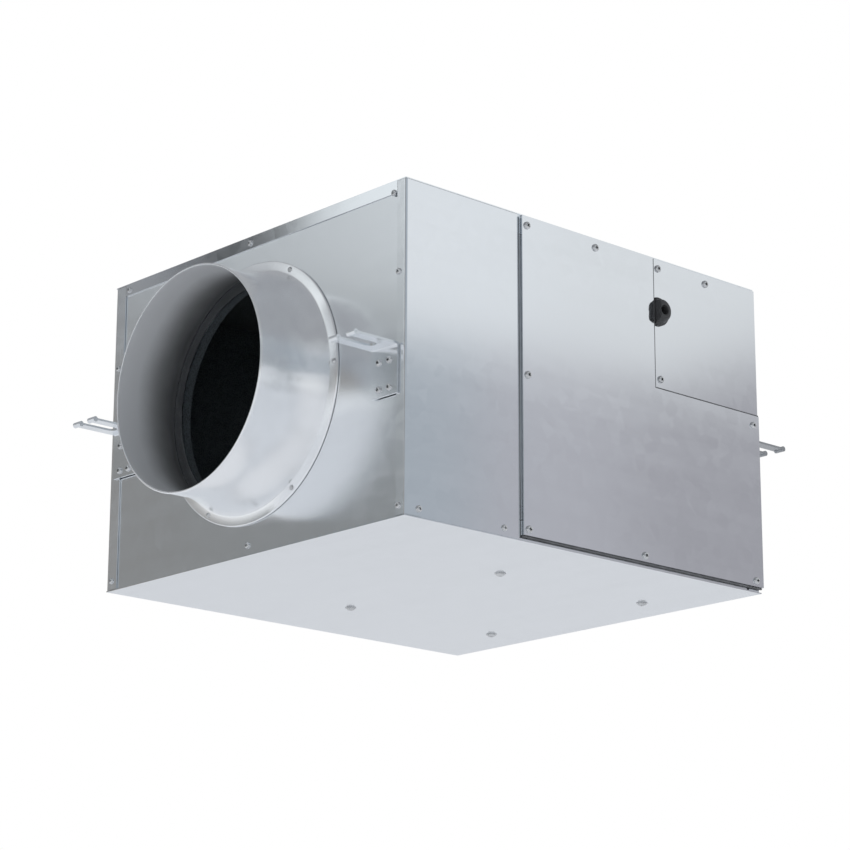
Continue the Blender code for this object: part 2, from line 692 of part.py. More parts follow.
def make_scroll():
    half = SCROLL_HALF - SCROLL_SHEET - GAP
    folded("scroll_wrap", scroll_path(), -half, half, "XZ", GALVANISED, sheet=SCROLL_SHEET, side=1)
    outline = scroll_path(SCROLL_SHEET + 1.8 * MM)
    for name, sign in (("scroll_side_front", -1), ("scroll_side_rear", 1)):
        faces = sorted((sign * SCROLL_HALF, sign * (SCROLL_HALF - SCROLL_SHEET)))
        plate = flat_solid(name, outline, *faces, "XZ", GALVANISED)
        cut(plate, inlet_holes)
    profile = [
        (INLET_HOLE + 12 * MM, 2.2 * MM),
        (INLET_HOLE + 12 * MM, GAP),
        (INLET_HOLE - 1 * MM, GAP),
        (INLET_THROAT + 1.5 * MM, -8 * MM),
        (INLET_THROAT + 1.5 * MM, -12 * MM),
        (INLET_THROAT, -12 * MM),
        (INLET_THROAT, -7 * MM),
        (INLET_THROAT + 2 * MM, -1 * MM),
        (INLET_THROAT + 6 * MM, 2.4 * MM),
        (INLET_THROAT + 10 * MM, 3 * MM),
    ]
    for name, axis, sign in (("inlet_ring_front", "-Y", -1), ("inlet_ring_rear", "+Y", 1)):
        turned(name, profile, (BLOWER_X, sign * SCROLL_HALF, BLOWER_Z), axis, PRESSED_STEEL, steps=40)


def blower_bolt_places():
    return [Vector((x, y, 0)) for x in BOLT_X for y in (-BOLT_Y, BOLT_Y)]


def make_blower_feet():
    for name, sign in (("blower_foot_front", -1), ("blower_foot_rear", 1)):
        path = [(sign * FOOT_Y, FOOT_RISE), (sign * FOOT_Y, WALL_LOW), (sign * 138 * MM, WALL_LOW)]
        foot = folded(name, path, *FOOT_X, "YZ", GALVANISED, sheet=FOOT_SHEET, side=sign)
        cut(foot, bolt_holes)
    for number, place in enumerate(blower_bolt_places(), 1):
        profile = [
            (0, BOLT_HEAD_HEIGHT + GAP),
            (BOLT_HEAD_RADIUS - 1.5 * MM, BOLT_HEAD_HEIGHT + GAP),
            (BOLT_HEAD_RADIUS, BOLT_HEAD_HEIGHT / 2 + GAP),
            (BOLT_HEAD_RADIUS, GAP),
            (BOLT_RADIUS, GAP),
            (BOLT_RADIUS, -12 * MM),
            (0, -12 * MM),
        ]
        turned(f"blower_bolt_{number}", profile, place, "-Z", PLATED_SCREW, steps=16, closed=False)


def blade_outline(angle, steps=2):
    """One forward-curved blade in X and Z, from the inner to the outer radius, leaning into the spin."""
    middle = []
    for i in range(steps + 1):
        share = i / steps
        radius = WHEEL_INNER + (WHEEL_RADIUS - 0.6 * MM - WHEEL_INNER) * share
        lean = angle - BLADE_HOLLOW * math.sin(share * math.pi) + BLADE_LEAN * share**2
        middle.append(Vector((BLOWER_X + radius * math.sin(lean), BLOWER_Z + radius * math.cos(lean))))
    outline = []
    for side in (1, -1):
        ends = range(steps + 1) if side > 0 else range(steps, -1, -1)
        for i in ends:
            run = middle[min(i + 1, steps)] - middle[max(i - 1, 0)]
            normal = Vector((-run.y, run.x)).normalized()
            outline.append(middle[i] + normal * side * BLADE_SHEET / 2)
    return outline


def make_impeller():
    centre = (BLOWER_X, 0, BLOWER_Z)
    disc = 1 * MM
    outer = WHEEL_RADIUS - 0.9 * MM
    wheel = ring("impeller_wheel", 17 * MM, outer, -disc, disc, centre, "+Y", PRESSED_STEEL, 48)
    bm = bmesh.new()
    for i in range(BLADES):
        outline = blade_outline(2 * math.pi * i / BLADES)
        verts = [bm.verts.new((p.x, -WHEEL_HALF + 0.5 * MM, p.y)) for p in outline]
        face = bm.faces.new(verts)
        raised = bmesh.ops.extrude_face_region(bm, geom=[face])["geom"]
        moved = [g for g in raised if isinstance(g, bmesh.types.BMVert)]
        bmesh.ops.translate(bm, vec=(0, 2 * WHEEL_HALF - 1 * MM, 0), verts=moved)
    bmesh.ops.recalc_face_normals(bm, faces=bm.faces)
    join(wheel, add("blades", mesh_from("blades", bm)))
    for side in (-1, 1):
        edge = sorted((side * WHEEL_HALF, side * (WHEEL_HALF - 2 * MM)))
        inner, outer = WHEEL_RADIUS - 9 * MM, WHEEL_RADIUS + 0.4 * MM
        join(wheel, ring(f"end_ring_{side}", inner, outer, *edge, centre, "+Y", steps=48))
    hub = [
        (24 * MM, disc + 3.3 * MM),
        (24 * MM, disc + GAP),
        (16.6 * MM, disc + GAP),
        (16.6 * MM, -14 * MM),
        (SHAFT_RADIUS + 0.3 * MM, -14 * MM),
        (SHAFT_RADIUS + 0.3 * MM, 14 * MM),
        (14 * MM, 14 * MM),
        (14 * MM, disc + 3.3 * MM),
    ]
    turned("impeller_hub", hub, centre, "+Y", BRIGHT_STEEL, steps=32)
    shaft = [(0, 16 * MM), (SHAFT_RADIUS, 16 * MM), (SHAFT_RADIUS, -160 * MM), (0, -160 * MM)]
    turned("motor_shaft", shaft, centre, "+Y", BRIGHT_STEEL, steps=24, closed=False)
    ring("motor_rotor", SHAFT_RADIUS + GAP, ROTOR_RADIUS, *CORE_Y, centre, "+Y", CORE_STEEL, 24)


def make_motor():
    centre = (BLOWER_X, 0, BLOWER_Z)
    ring("motor_housing", MOTOR_RADIUS - MOTOR_WALL, MOTOR_RADIUS, *MOTOR_Y, centre, "+Y", MOTOR_PAINT, 40)
    bore = MOTOR_RADIUS - MOTOR_WALL - GAP
    coils = [
        (bore, CORE_Y[1]),
        (bore, CORE_Y[0]),
        (bore - 4 * MM, CORE_Y[0] - 8 * MM),
        (32 * MM, CORE_Y[0] - 8 * MM),
        (ROTOR_RADIUS + 0.6 * MM, CORE_Y[0]),
        (ROTOR_RADIUS + 0.6 * MM, CORE_Y[1]),
        (32 * MM, CORE_Y[1] + 8 * MM),
        (bore - 4 * MM, CORE_Y[1] + 8 * MM),
    ]
    turned("motor_stator", coils, centre, "+Y", CORE_STEEL, steps=32)
    for end, axis, y in (("front", "-Y", MOTOR_Y[0]), ("rear", "+Y", MOTOR_Y[1])):
        seat = BEARING_RADIUS + GAP
        cap = [
            (MOTOR_RADIUS - 6 * MM, CAP_DEPTH),
            (MOTOR_RADIUS - 0.5 * MM, CAP_DEPTH - 4 * MM),
            (MOTOR_RADIUS - 0.5 * MM, GAP),
            (seat + 3 * MM, GAP),
            (seat + 3 * MM, -5 * MM),
            (seat, -5 * MM),
            (seat, 3.5 * MM),
            (SHAFT_RADIUS + 1 * MM, 3.5 * MM),
            (SHAFT_RADIUS + 1 * MM, CAP_DEPTH),
        ]
        turned(f"motor_cap_{end}", cap, (BLOWER_X, y, BLOWER_Z), axis, MOTOR_PAINT, steps=32)
        race = (3.2 * MM - BEARING_WIDTH, 3.2 * MM)
        place = (BLOWER_X, y, BLOWER_Z)
        ring(f"bearing_{end}", SHAFT_RADIUS + 0.3 * MM, BEARING_RADIUS, *race, place, axis, BRIGHT_STEEL, 24)


def make_motor_bracket():
    """A clamp band round the motor with three arms that stand on the scroll's front side."""
    centre = Vector((BLOWER_X, 0, BLOWER_Z))
    band_y = (BRACKET_Y - 9 * MM, BRACKET_Y + 9 * MM)
    inner = MOTOR_RADIUS + GAP
    bracket = ring("motor_bracket", inner, inner + ARM_SHEET, *band_y, centre, "+Y", GALVANISED, 40)
    foot = -SCROLL_HALF - GAP
    for number in range(3):
        path = [(inner + 1.2 * MM, BRACKET_Y), (ARM_RADIUS, BRACKET_Y), (ARM_RADIUS, foot), (ARM_FOOT, foot)]
        edges = (-ARM_WIDTH / 2, ARM_WIDTH / 2)
        arm = folded(f"bracket_arm_{number}", path, *edges, "XY", sheet=ARM_SHEET, side=-1)
        arm.location = centre
        arm.rotation_euler = (0, math.radians(120 * number - 90), 0)
        join(bracket, arm)


# Acoustic lining ---------------------------------------------------------------------------------


def make_linings():
    back = END_PLATE - SHEET - GAP
    inner_x = back - LINING
    stop = PARTITION_X - 1 * MM
    low, high = 23 * MM, WALL_HIGH - LINING - 0.3 * MM
    side = INNER_SIDE - SHEET - GAP
    front = 2 * MM - SCREW_END
    top = box("lining_top", (-back, front, WALL_HIGH - LINING), (stop, side, WALL_HIGH), BLACK_LINING)
    relief_low = (BOX_LOW.x - 10 * MM, front - LINING, HEIGHT - 2 * LINING)
    cut(top, box("lining_relief", relief_low, (END_FACE, BOX_HIGH.y + 2 * MM, HEIGHT)))
    box("lining_rear", (-inner_x + GAP, side - LINING, low), (stop, side, high), BLACK_LINING)
    box("lining_front", (-inner_x + GAP, -side, low), (-127 * MM, -side + LINING, high), BLACK_LINING)
    end = box("lining_intake", (-back, -side, low), (-inner_x, side, high), BLACK_LINING)
    hole = cylinders("lining_hole", [(-back, 0, AXIS_Z)], 126 * MM, 60 * MM, "X", segments=48)
    cut(end, hole)


access_holes = cylinders(
    "access_screw_holes", side_points(ACCESS_SCREWS, -SIDE_FACE), SCREW_HOLE_RADIUS, 14 * MM, "Y", segments=12
)
cover_holes = cylinders(
    "cover_screw_holes", side_points(COVER_SCREWS, -SIDE_FACE), SCREW_HOLE_RADIUS, 14 * MM, "Y", segments=12
)
inlet_holes = cylinders("inlet_holes", [(BLOWER_X, 0, BLOWER_Z)], INLET_HOLE, 400 * MM, "Y", segments=48)
bolt_holes = cylinders("bolt_holes", blower_bolt_places(), BOLT_RADIUS + 0.4 * MM, 30 * MM, "Z", segments=16)

make_bottom_panel()
make_top_panel()
make_side_panels()
make_end_panels()
make_partition()
make_collars()
make_hanger_brackets()
make_access_panel()
make_electrical_cover()
make_cable_bush()
make_screws("access_screw", ACCESS_SCREWS, ACCESS_FACE)
make_screws("cover_screw", COVER_SCREWS, COVER_FACE)
make_terminal_box()
make_electrics()
make_motor_lead()
make_scroll()
make_blower_feet()
make_impeller()
make_motor()
make_motor_bracket()
make_linings()
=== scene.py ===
"""Inline duct fan: finishes, fine pieces and a studio stage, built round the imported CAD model."""

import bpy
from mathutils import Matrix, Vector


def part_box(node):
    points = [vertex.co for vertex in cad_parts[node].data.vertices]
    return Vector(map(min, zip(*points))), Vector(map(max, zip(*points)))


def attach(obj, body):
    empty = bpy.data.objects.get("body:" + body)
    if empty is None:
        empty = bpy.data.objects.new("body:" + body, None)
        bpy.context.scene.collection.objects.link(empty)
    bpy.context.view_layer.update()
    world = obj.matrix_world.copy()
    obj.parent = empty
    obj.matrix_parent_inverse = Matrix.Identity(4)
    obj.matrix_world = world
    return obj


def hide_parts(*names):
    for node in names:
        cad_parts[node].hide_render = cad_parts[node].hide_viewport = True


bl_info = {
    "name": "Inline Duct Fan",
    "version": (1, 0, 0),
    "blender": (4, 5, 0),
    "location": "View3D > Sidebar > Duct Fan",
    "description": "Finishes a hung duct fan: casing, collars, brackets, blower, motor and lining",
    "category": "Object",
}

import math

import bmesh
import bpy
from bpy.props import FloatProperty, FloatVectorProperty, IntProperty, PointerProperty
from mathutils import Matrix, Vector

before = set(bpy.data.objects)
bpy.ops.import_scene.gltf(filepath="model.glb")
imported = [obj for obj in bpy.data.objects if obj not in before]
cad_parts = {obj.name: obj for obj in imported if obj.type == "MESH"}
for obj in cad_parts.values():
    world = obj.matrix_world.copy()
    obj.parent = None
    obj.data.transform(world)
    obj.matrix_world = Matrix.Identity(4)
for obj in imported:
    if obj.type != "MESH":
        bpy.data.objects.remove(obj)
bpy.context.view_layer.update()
MM = 0.001

CASE_LOW, CASE_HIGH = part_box("bottom_panel")[0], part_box("top_panel")[1]
COLLAR_LOW, COLLAR_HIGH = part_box("intake_collar")
DUCT_Z = (COLLAR_LOW.z + COLLAR_HIGH.z) / 2
WHEEL_LOW, WHEEL_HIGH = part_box("impeller_wheel")
WHEEL_CENTRE = (WHEEL_LOW + WHEEL_HIGH) / 2
PANEL_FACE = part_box("access_panel")[0].y
COVER_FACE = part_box("electrical_cover")[0].y
FRONT_FACE = CASE_LOW.y
END_FACE = CASE_HIGH.x

ENDS = (("intake", "-X", -1), ("discharge", "+X", 1))
SHARP_ANGLE = math.radians(32)

# Collars: radii, and the lengths of the barrel and of the painted shade on the inner wall
COLLAR_BARREL, COLLAR_FLARE, COLLAR_FLANGE = 124 * MM, 135 * MM, 145.9 * MM
COLLAR_WALL, COLLAR_FLANGE_SHEET = 1.4 * MM, 2.4 * MM
COLLAR_STRAIGHT = 34 * MM
DUCT_MOUTH, DUCT_LENGTH = 262 * MM, 95 * MM
RIVET_CIRCLE, RIVET_TURN = 140.5 * MM, math.radians(2)

# Hanger brackets
BRACKET_Y = 221 * MM
BRACKET_WIDTH, BRACKET_SLOT, BRACKET_SLOT_DEPTH = 40 * MM, 14 * MM, 38.5 * MM
BRACKET_SHEET, BRACKET_DROP = 2.3 * MM, 54 * MM

# Screws: X and Z under the fixed panel, then Y and Z on the ends' flanges and on a bracket
FOOT_SCREWS_X, FOOT_SCREW_Z = (-251.5 * MM, -132 * MM), 9.5 * MM
END_SCREW_LOW, END_SCREW_MIDDLE, END_SCREW_HIGH = 11.5 * MM, 260 * MM, CASE_HIGH.z - 7.5 * MM
FLANGE_SCREWS = (
    (-241 * MM, END_SCREW_LOW),
    (-240 * MM, END_SCREW_MIDDLE - 1 * MM),
    (-232 * MM, END_SCREW_HIGH - 6 * MM),
    (4.4 * MM, END_SCREW_HIGH),
    (241 * MM, END_SCREW_LOW),
    (241 * MM, END_SCREW_MIDDLE + 1 * MM),
    (225 * MM, END_SCREW_HIGH),
)
BRACKET_SCREWS = tuple((y * MM, z * MM) for z in (166, 137) for y in (213, 229))

# Blower and motor
BLADE_CHORD, BLADE_HOLLOW, BLADE_LEAN = 16 * MM, math.radians(2.0), math.radians(7.5)
MOTOR_BOLT_CIRCLE = 37 * MM

# Wiring: where the lead's cut end is, and the screw that earths the box
CASE_SHEET = 1.2 * MM
LEAD_END = Vector((138, -217, 238)) * MM
EARTH_SCREW = Vector((226, 0, 268)) * MM

# Ribs on the bush's flat side: height over the cover and half length, in millimetres
BUSH_RIBS = ((2.4, 13.4), (4.4, 12.4), (6.4, 11.2), (8.4, 10.6))

# The room that the sheet reflects: bearings in degrees, heights as the sine of the elevation
FRONT_BEARING = -47.4
FRONT_BREAK, FRONT_BREAK_TILT, FRONT_BREAK_BLUR = 0.300, -0.18, 0.012
BACK_BREAK = (0.298, 0.322)
CEILING_BREAK = (0.42, 0.62)
SKIRT_BREAK = (0.05, 0.16)
DARK_SPOT, DARK_SPOT_SIZE = (128.4, 0.334), (1.45, 0.036)

TURN = {
    "+X": Matrix.Rotation(math.pi / 2, 4, "Y"),
    "-X": Matrix.Rotation(-math.pi / 2, 4, "Y"),
    "+Y": Matrix.Rotation(-math.pi / 2, 4, "X"),
    "-Y": Matrix.Rotation(math.pi / 2, 4, "X"),
    "+Z": Matrix.Identity(4),
    "-Z": Matrix.Rotation(math.pi, 4, "X"),
}


# Settings ----------------------------------------------------------------------------------------


def colour_setting(name, description, default):
    return FloatVectorProperty(
        name=name, description=description, subtype="COLOR", size=3, min=0, max=1, default=default
    )


class DuctFanFinishes(bpy.types.PropertyGroup):
    sheet: colour_setting("Casing sheet", "Zinc-coated casing steel", (0.86, 0.885, 0.91))
    sheet_roughness: FloatProperty(
        name="Sheet roughness", description="How dull the casing steel is", default=0.09, min=0, max=1
    )
    pressed: colour_setting("Pressed steel", "Collars, brackets and inlet rings", (0.95, 0.965, 0.98))
    plated: colour_setting("Plated steel", "Screws and bolts", (0.62, 0.63, 0.64))
    rubber: colour_setting("Rubber", "Bush and grommet", (0.018, 0.019, 0.020))
    foam: colour_setting("Acoustic foam", "Lining of the cabinet", (0.050, 0.060, 0.066))
    enamel: colour_setting("Motor enamel", "Motor housing and caps", (0.055, 0.062, 0.070))
    cream: colour_setting("Terminal plastic", "Terminal block", (0.72, 0.69, 0.58))
    grey: colour_setting("Capacitor plastic", "Capacitor can", (0.30, 0.31, 0.32))


class DuctFanHardware(bpy.types.PropertyGroup):
    head_radius: FloatProperty(
        name="Screw head radius", description="Pan head screws", default=4.2 * MM, unit="LENGTH", min=0
    )
    head_height: FloatProperty(
        name="Screw head height", description="Pan head screws", default=2.6 * MM, unit="LENGTH", min=0
    )
    rivet_radius: FloatProperty(
        name="Rivet radius", description="Rivets round the collars", default=3.2 * MM, unit="LENGTH", min=0
    )
    rivets: IntProperty(name="Rivets", description="Rivets round each collar", default=6, min=3, max=24)
    blades: IntProperty(name="Blades", description="Blades of the wheel", default=32, min=8, max=60)


class DuctFanStage(bpy.types.PropertyGroup):
    camera_place: FloatVectorProperty(
        name="Camera",
        description="Place of the camera",
        subtype="TRANSLATION",
        size=3,
        default=(-2.070, -2.245, -0.663),
    )
    camera_target: FloatVectorProperty(
        name="Target",
        description="Point the camera looks at",
        subtype="TRANSLATION",
        size=3,
        default=(-0.2282, -0.2336, 0.1047),
    )
    lens: FloatProperty(name="Lens", description="Focal length in millimetres", default=117.4, min=10)
    roll: FloatProperty(
        name="Roll",
        description="Roll of the camera",
        subtype="ANGLE",
        unit="ROTATION",
        default=math.radians(-0.19),
    )
    floor_drop: FloatProperty(
        name="Floor drop", description="Height of the fan over the floor", default=3.8, unit="LENGTH"
    )


# Shaders -----------------------------------------------------------------------------------------

SOCKET_NAMES = {"coat": "Coat Weight", "sheen": "Sheen Weight"}


class Nodes:
    """Short calls for adding and joining the nodes of a tree."""

    def __init__(self, tree):
        self.tree = tree

    def add(self, kind, **values):
        node = self.tree.nodes.new(kind)
        for key, value in values.items():
            setattr(node, key, value)
        return node

    def join(self, source, target):
        self.tree.links.new(source, target)

    def maths(self, operation, a, b, clamp=False):
        node = self.add("ShaderNodeMath", operation=operation, use_clamp=clamp)
        for socket, value in zip(node.inputs, (a, b), strict=False):
            if isinstance(value, (int, float)):
                socket.default_value = value
            else:
                self.join(value, socket)
        return node.outputs[0]

    def step(self, value, low, high):
        """A smooth rise from 0 to 1 between two values."""
        node = self.add("ShaderNodeMapRange", interpolation_type="SMOOTHSTEP")
        self.join(value, node.inputs["Value"])
        node.inputs["From Min"].default_value = low
        node.inputs["From Max"].default_value = high
        return node.outputs["Result"]

    def mix(self, factor, a, b):
        """A blend of two colours, each given or taken from a node."""
        node = self.add("ShaderNodeMix", data_type="RGBA")
        self.join(factor, node.inputs["Factor"])
        for socket, value in ((node.inputs[6], a), (node.inputs[7], b)):
            if isinstance(value, tuple):
                socket.default_value = (*value, 1)
            else:
                self.join(value, socket)
        return node.outputs[2]


class Shader(Nodes):
    """A material's nodes, laid over the piece's own coordinates."""

    def __init__(self, name):
        self.material = bpy.data.materials.new(name)
        self.material.use_nodes = True
        super().__init__(self.material.node_tree)
        self.surface = self.tree.nodes["Principled BSDF"]
        self.place = self.add("ShaderNodeTexCoord").outputs["Object"]

    def stretched(self, scale):
        """The place, squeezed or stretched along each axis."""
        mapping = self.add("ShaderNodeMapping")
        mapping.inputs["Scale"].default_value = scale
        self.join(self.place, mapping.inputs["Vector"])
        return mapping.outputs["Vector"]

    def noise(self, scale, detail=3, roughness=0.5, place=None):
        node = self.add("ShaderNodeTexNoise")
        node.inputs["Scale"].default_value = scale
        node.inputs["Detail"].default_value = detail
        node.inputs["Roughness"].default_value = roughness
        self.join(place or self.place, node.inputs["Vector"])
        return node.outputs["Fac"]

    def cells(self, scale, output):
        node = self.add("ShaderNodeTexVoronoi", feature="F1")
        node.inputs["Scale"].default_value = scale
        self.join(self.place, node.inputs["Vector"])
        return node.outputs[output]

    def twisted(self, x, z, rate):
        """The rise of a flat sheet that is sprung slightly out of true about one point."""
        split = self.add("ShaderNodeSeparateXYZ")
        self.join(self.place, split.inputs["Vector"])
        across = self.maths("SUBTRACT", split.outputs["X"], x)
        up = self.maths("SUBTRACT", split.outputs["Z"], z)
        return self.maths("MULTIPLY", self.maths("MULTIPLY", across, up), rate)

    def ramp(self, source, stops):
        node = self.add("ShaderNodeValToRGB")
        while len(node.color_ramp.elements) < len(stops):
            node.color_ramp.elements.new(0.5)
        for element, (at, colour) in zip(node.color_ramp.elements, stops, strict=True):
            element.position = at
            element.color = (*colour, 1) if hasattr(colour, "__len__") else (colour, colour, colour, 1)
        self.join(source, node.inputs["Fac"])
        return node.outputs["Color"]

    def bump(self, height, strength, distance):
        node = self.add("ShaderNodeBump")
        node.inputs["Strength"].default_value = strength
        node.inputs["Distance"].default_value = distance
        self.join(height, node.inputs["Height"])
        self.join(node.outputs["Normal"], self.surface.inputs["Normal"])

    def paint(self, source, stops):
        self.join(self.ramp(source, stops), self.surface.inputs["Base Color"])

    def roughen(self, source, stops):
        self.join(self.ramp(source, stops), self.surface.inputs["Roughness"])

    def set(self, **values):
        for key, value in values.items():
            self.surface.inputs[SOCKET_NAMES.get(key, key.title())].default_value = value


def shade(colour, factor):
    return tuple(min(1.0, c * factor) for c in colour)


def sheet_metal(
    name,
    colour,
    roughness,
    streak=(3, 3, 40),
    spangle=70,
    depth=0.02,
    metallic=1.0,
    rolled=0.0,
    twist=None,
    ends=1.0,
):
    """Zinc-coated sheet: a rolled streak, a faint spangle and a slow waviness.

    rolled stretches the gloss across the streak, twist springs the sheet slightly out of true,
    and ends makes the flanges that face along X duller.
    """
    s = Shader(name)
    if rolled:
        grain = s.add("ShaderNodeTangent", direction_type="RADIAL", axis="Z")
        s.join(grain.outputs["Tangent"], s.surface.inputs["Tangent"])
    streaks = s.noise(1.0, 4, 0.55, s.stretched(streak))
    flakes = s.cells(spangle, "Color")
    grey = s.add("ShaderNodeRGBToBW")
    s.join(flakes, grey.inputs["Color"])
    flecks = s.maths("MULTIPLY", grey.outputs["Val"], 0.25)
    mixed = s.maths("ADD", s.maths("MULTIPLY", streaks, 0.75), flecks)
    s.paint(mixed, ((0.25, shade(colour, 0.965)), (0.75, shade(colour, 1.02))))
    dull = s.ramp(mixed, ((0.3, roughness * 0.85), (0.7, roughness * 1.2)))
    if ends != 1:
        facing = s.add("ShaderNodeSeparateXYZ")
        s.join(s.add("ShaderNodeNewGeometry").outputs["Normal"], facing.inputs["Vector"])
        on_end = s.maths("GREATER_THAN", s.maths("ABSOLUTE", facing.outputs["X"], 0), 0.7)
        dull = s.maths("MULTIPLY", dull, s.maths("ADD", s.maths("MULTIPLY", on_end, ends - 1), 1))
    s.join(dull, s.surface.inputs["Roughness"])
    if twist:
        s.bump(s.twisted(*twist), 1, 1)
    else:
        s.bump(s.noise(14, 2, 0.4), depth, 2 * MM)
    s.set(metallic=metallic, anisotropic=rolled)
    return s.material


def duct_inside(name, colour):
    """The dull inner wall of a collar, with painted shade: darkest deep inside the cabinet, full colour at
    the rim, over random patches.
    """
    s = Shader(name)
    along = s.add("ShaderNodeSeparateXYZ")
    s.join(s.place, along.inputs["Vector"])
    out = s.maths("SUBTRACT", s.maths("ABSOLUTE", along.outputs["X"], 0), DUCT_MOUTH)
    depth = s.maths("DIVIDE", out, DUCT_LENGTH, clamp=True)
    patches = s.maths("MULTIPLY", s.maths("SUBTRACT", s.noise(22, 3), 0.5), 0.12)
    depth_shade_and_patches = s.maths("ADD", depth, patches, clamp=True)
    # painted shade: the inner wall is darkened to a tenth of its colour deep inside and rises to full colour
    # near the rim
    stops = ((0.15, 0.10), (0.45, 0.52), (0.72, 0.95), (1.0, 1.0))
    s.paint(depth_shade_and_patches, [(stop, shade(colour, light)) for stop, light in stops])
    s.roughen(depth_shade_and_patches, ((0.2, 0.62), (0.9, 0.46)))
    s.bump(s.noise(90, 3), 0.06, 0.6 * MM)
    s.set(metallic=0.2)
    return s.material


def turned_metal(name, colour, roughness, streak=(2, 2, 2)):
    """Machined or plated steel with fine marks and small dull patches."""
    s = Shader(name)
    marks = s.noise(60, 4, 0.6, s.stretched(streak))
    s.paint(marks, ((0.3, shade(colour, 0.86)), (0.7, shade(colour, 1.08))))
    s.roughen(marks, ((0.3, roughness * 1.4), (0.7, roughness * 0.8)))
    s.bump(s.noise(500, 2), 0.05, 0.1 * MM)
    s.set(metallic=1.0)
    return s.material


def moulded(name, colour, roughness, grain=900, depth=0.08):
    """Moulded rubber or plastic with a fine eroded grain."""
    s = Shader(name)
    patches = s.noise(40, 3)
    s.paint(patches, ((0.3, shade(colour, 0.8)), (0.7, shade(colour, 1.25))))
    s.roughen(patches, ((0.3, roughness * 0.9), (0.7, min(1, roughness * 1.1))))
    s.bump(s.noise(grain, 2), depth, 0.15 * MM)
    s.set(metallic=0.0)
    return s.material


def foam(name, colour):
    """Open-cell foam: pits at two sizes under a matt face, with painted shade darkening the pits."""
    s = Shader(name)
    pits = s.cells(520, "Distance")
    lumps = s.noise(120, 4, 0.6)
    height = s.maths("ADD", pits, s.maths("MULTIPLY", lumps, 0.6))
    # painted shade: the colour follows the height, darker in the pits and lighter on the lumps
    s.paint(height, ((0.2, shade(colour, 0.5)), (0.9, shade(colour, 2.2))))
    s.bump(height, 0.7, 0.8 * MM)
    s.set(roughness=0.95, metallic=0.0, sheen=0.1)
    return s.material


def enamel(name, colour):
    """Sprayed enamel over a casting, with orange peel and worn dust."""
    s = Shader(name)
    depth_shade_and_patches = s.noise(25, 4, 0.6)
    s.paint(depth_shade_and_patches, ((0.35, colour), (0.8, shade(colour, 1.7))))
    s.roughen(depth_shade_and_patches, ((0.3, 0.34), (0.8, 0.6)))
    s.bump(s.noise(260, 3, 0.55), 0.25, 0.25 * MM)
    s.set(metallic=0.15)
    return s.material


def laminated(name, colour):
    """A stack of punched steel sheets seen on edge, along Y."""
    s = Shader(name)
    wave = s.add("ShaderNodeTexWave", wave_type="BANDS", bands_direction="Y")
    wave.inputs["Scale"].default_value = 330
    s.join(s.place, wave.inputs["Vector"])
    s.paint(wave.outputs["Fac"], ((0.2, shade(colour, 0.55)), (0.8, colour)))
    s.bump(wave.outputs["Fac"], 0.5, 0.2 * MM)
    s.set(roughness=0.45, metallic=0.85)
    return s.material


def windings(name):
    """Varnished copper wire wound round the core's ends."""
    s = Shader(name)
    wave = s.add("ShaderNodeTexWave", wave_type="RINGS", rings_direction="Y")
    wave.inputs["Scale"].default_value = 210
    wave.inputs["Distortion"].default_value = 1.2
    s.join(s.place, wave.inputs["Vector"])
    stops = ((0.15, (0.16, 0.05, 0.02)), (0.85, (0.62, 0.26, 0.11)))
    s.paint(wave.outputs["Fac"], stops)
    s.bump(wave.outputs["Fac"], 0.6, 0.4 * MM)
    s.set(roughness=0.32, metallic=0.7, coat=0.4)
    return s.material


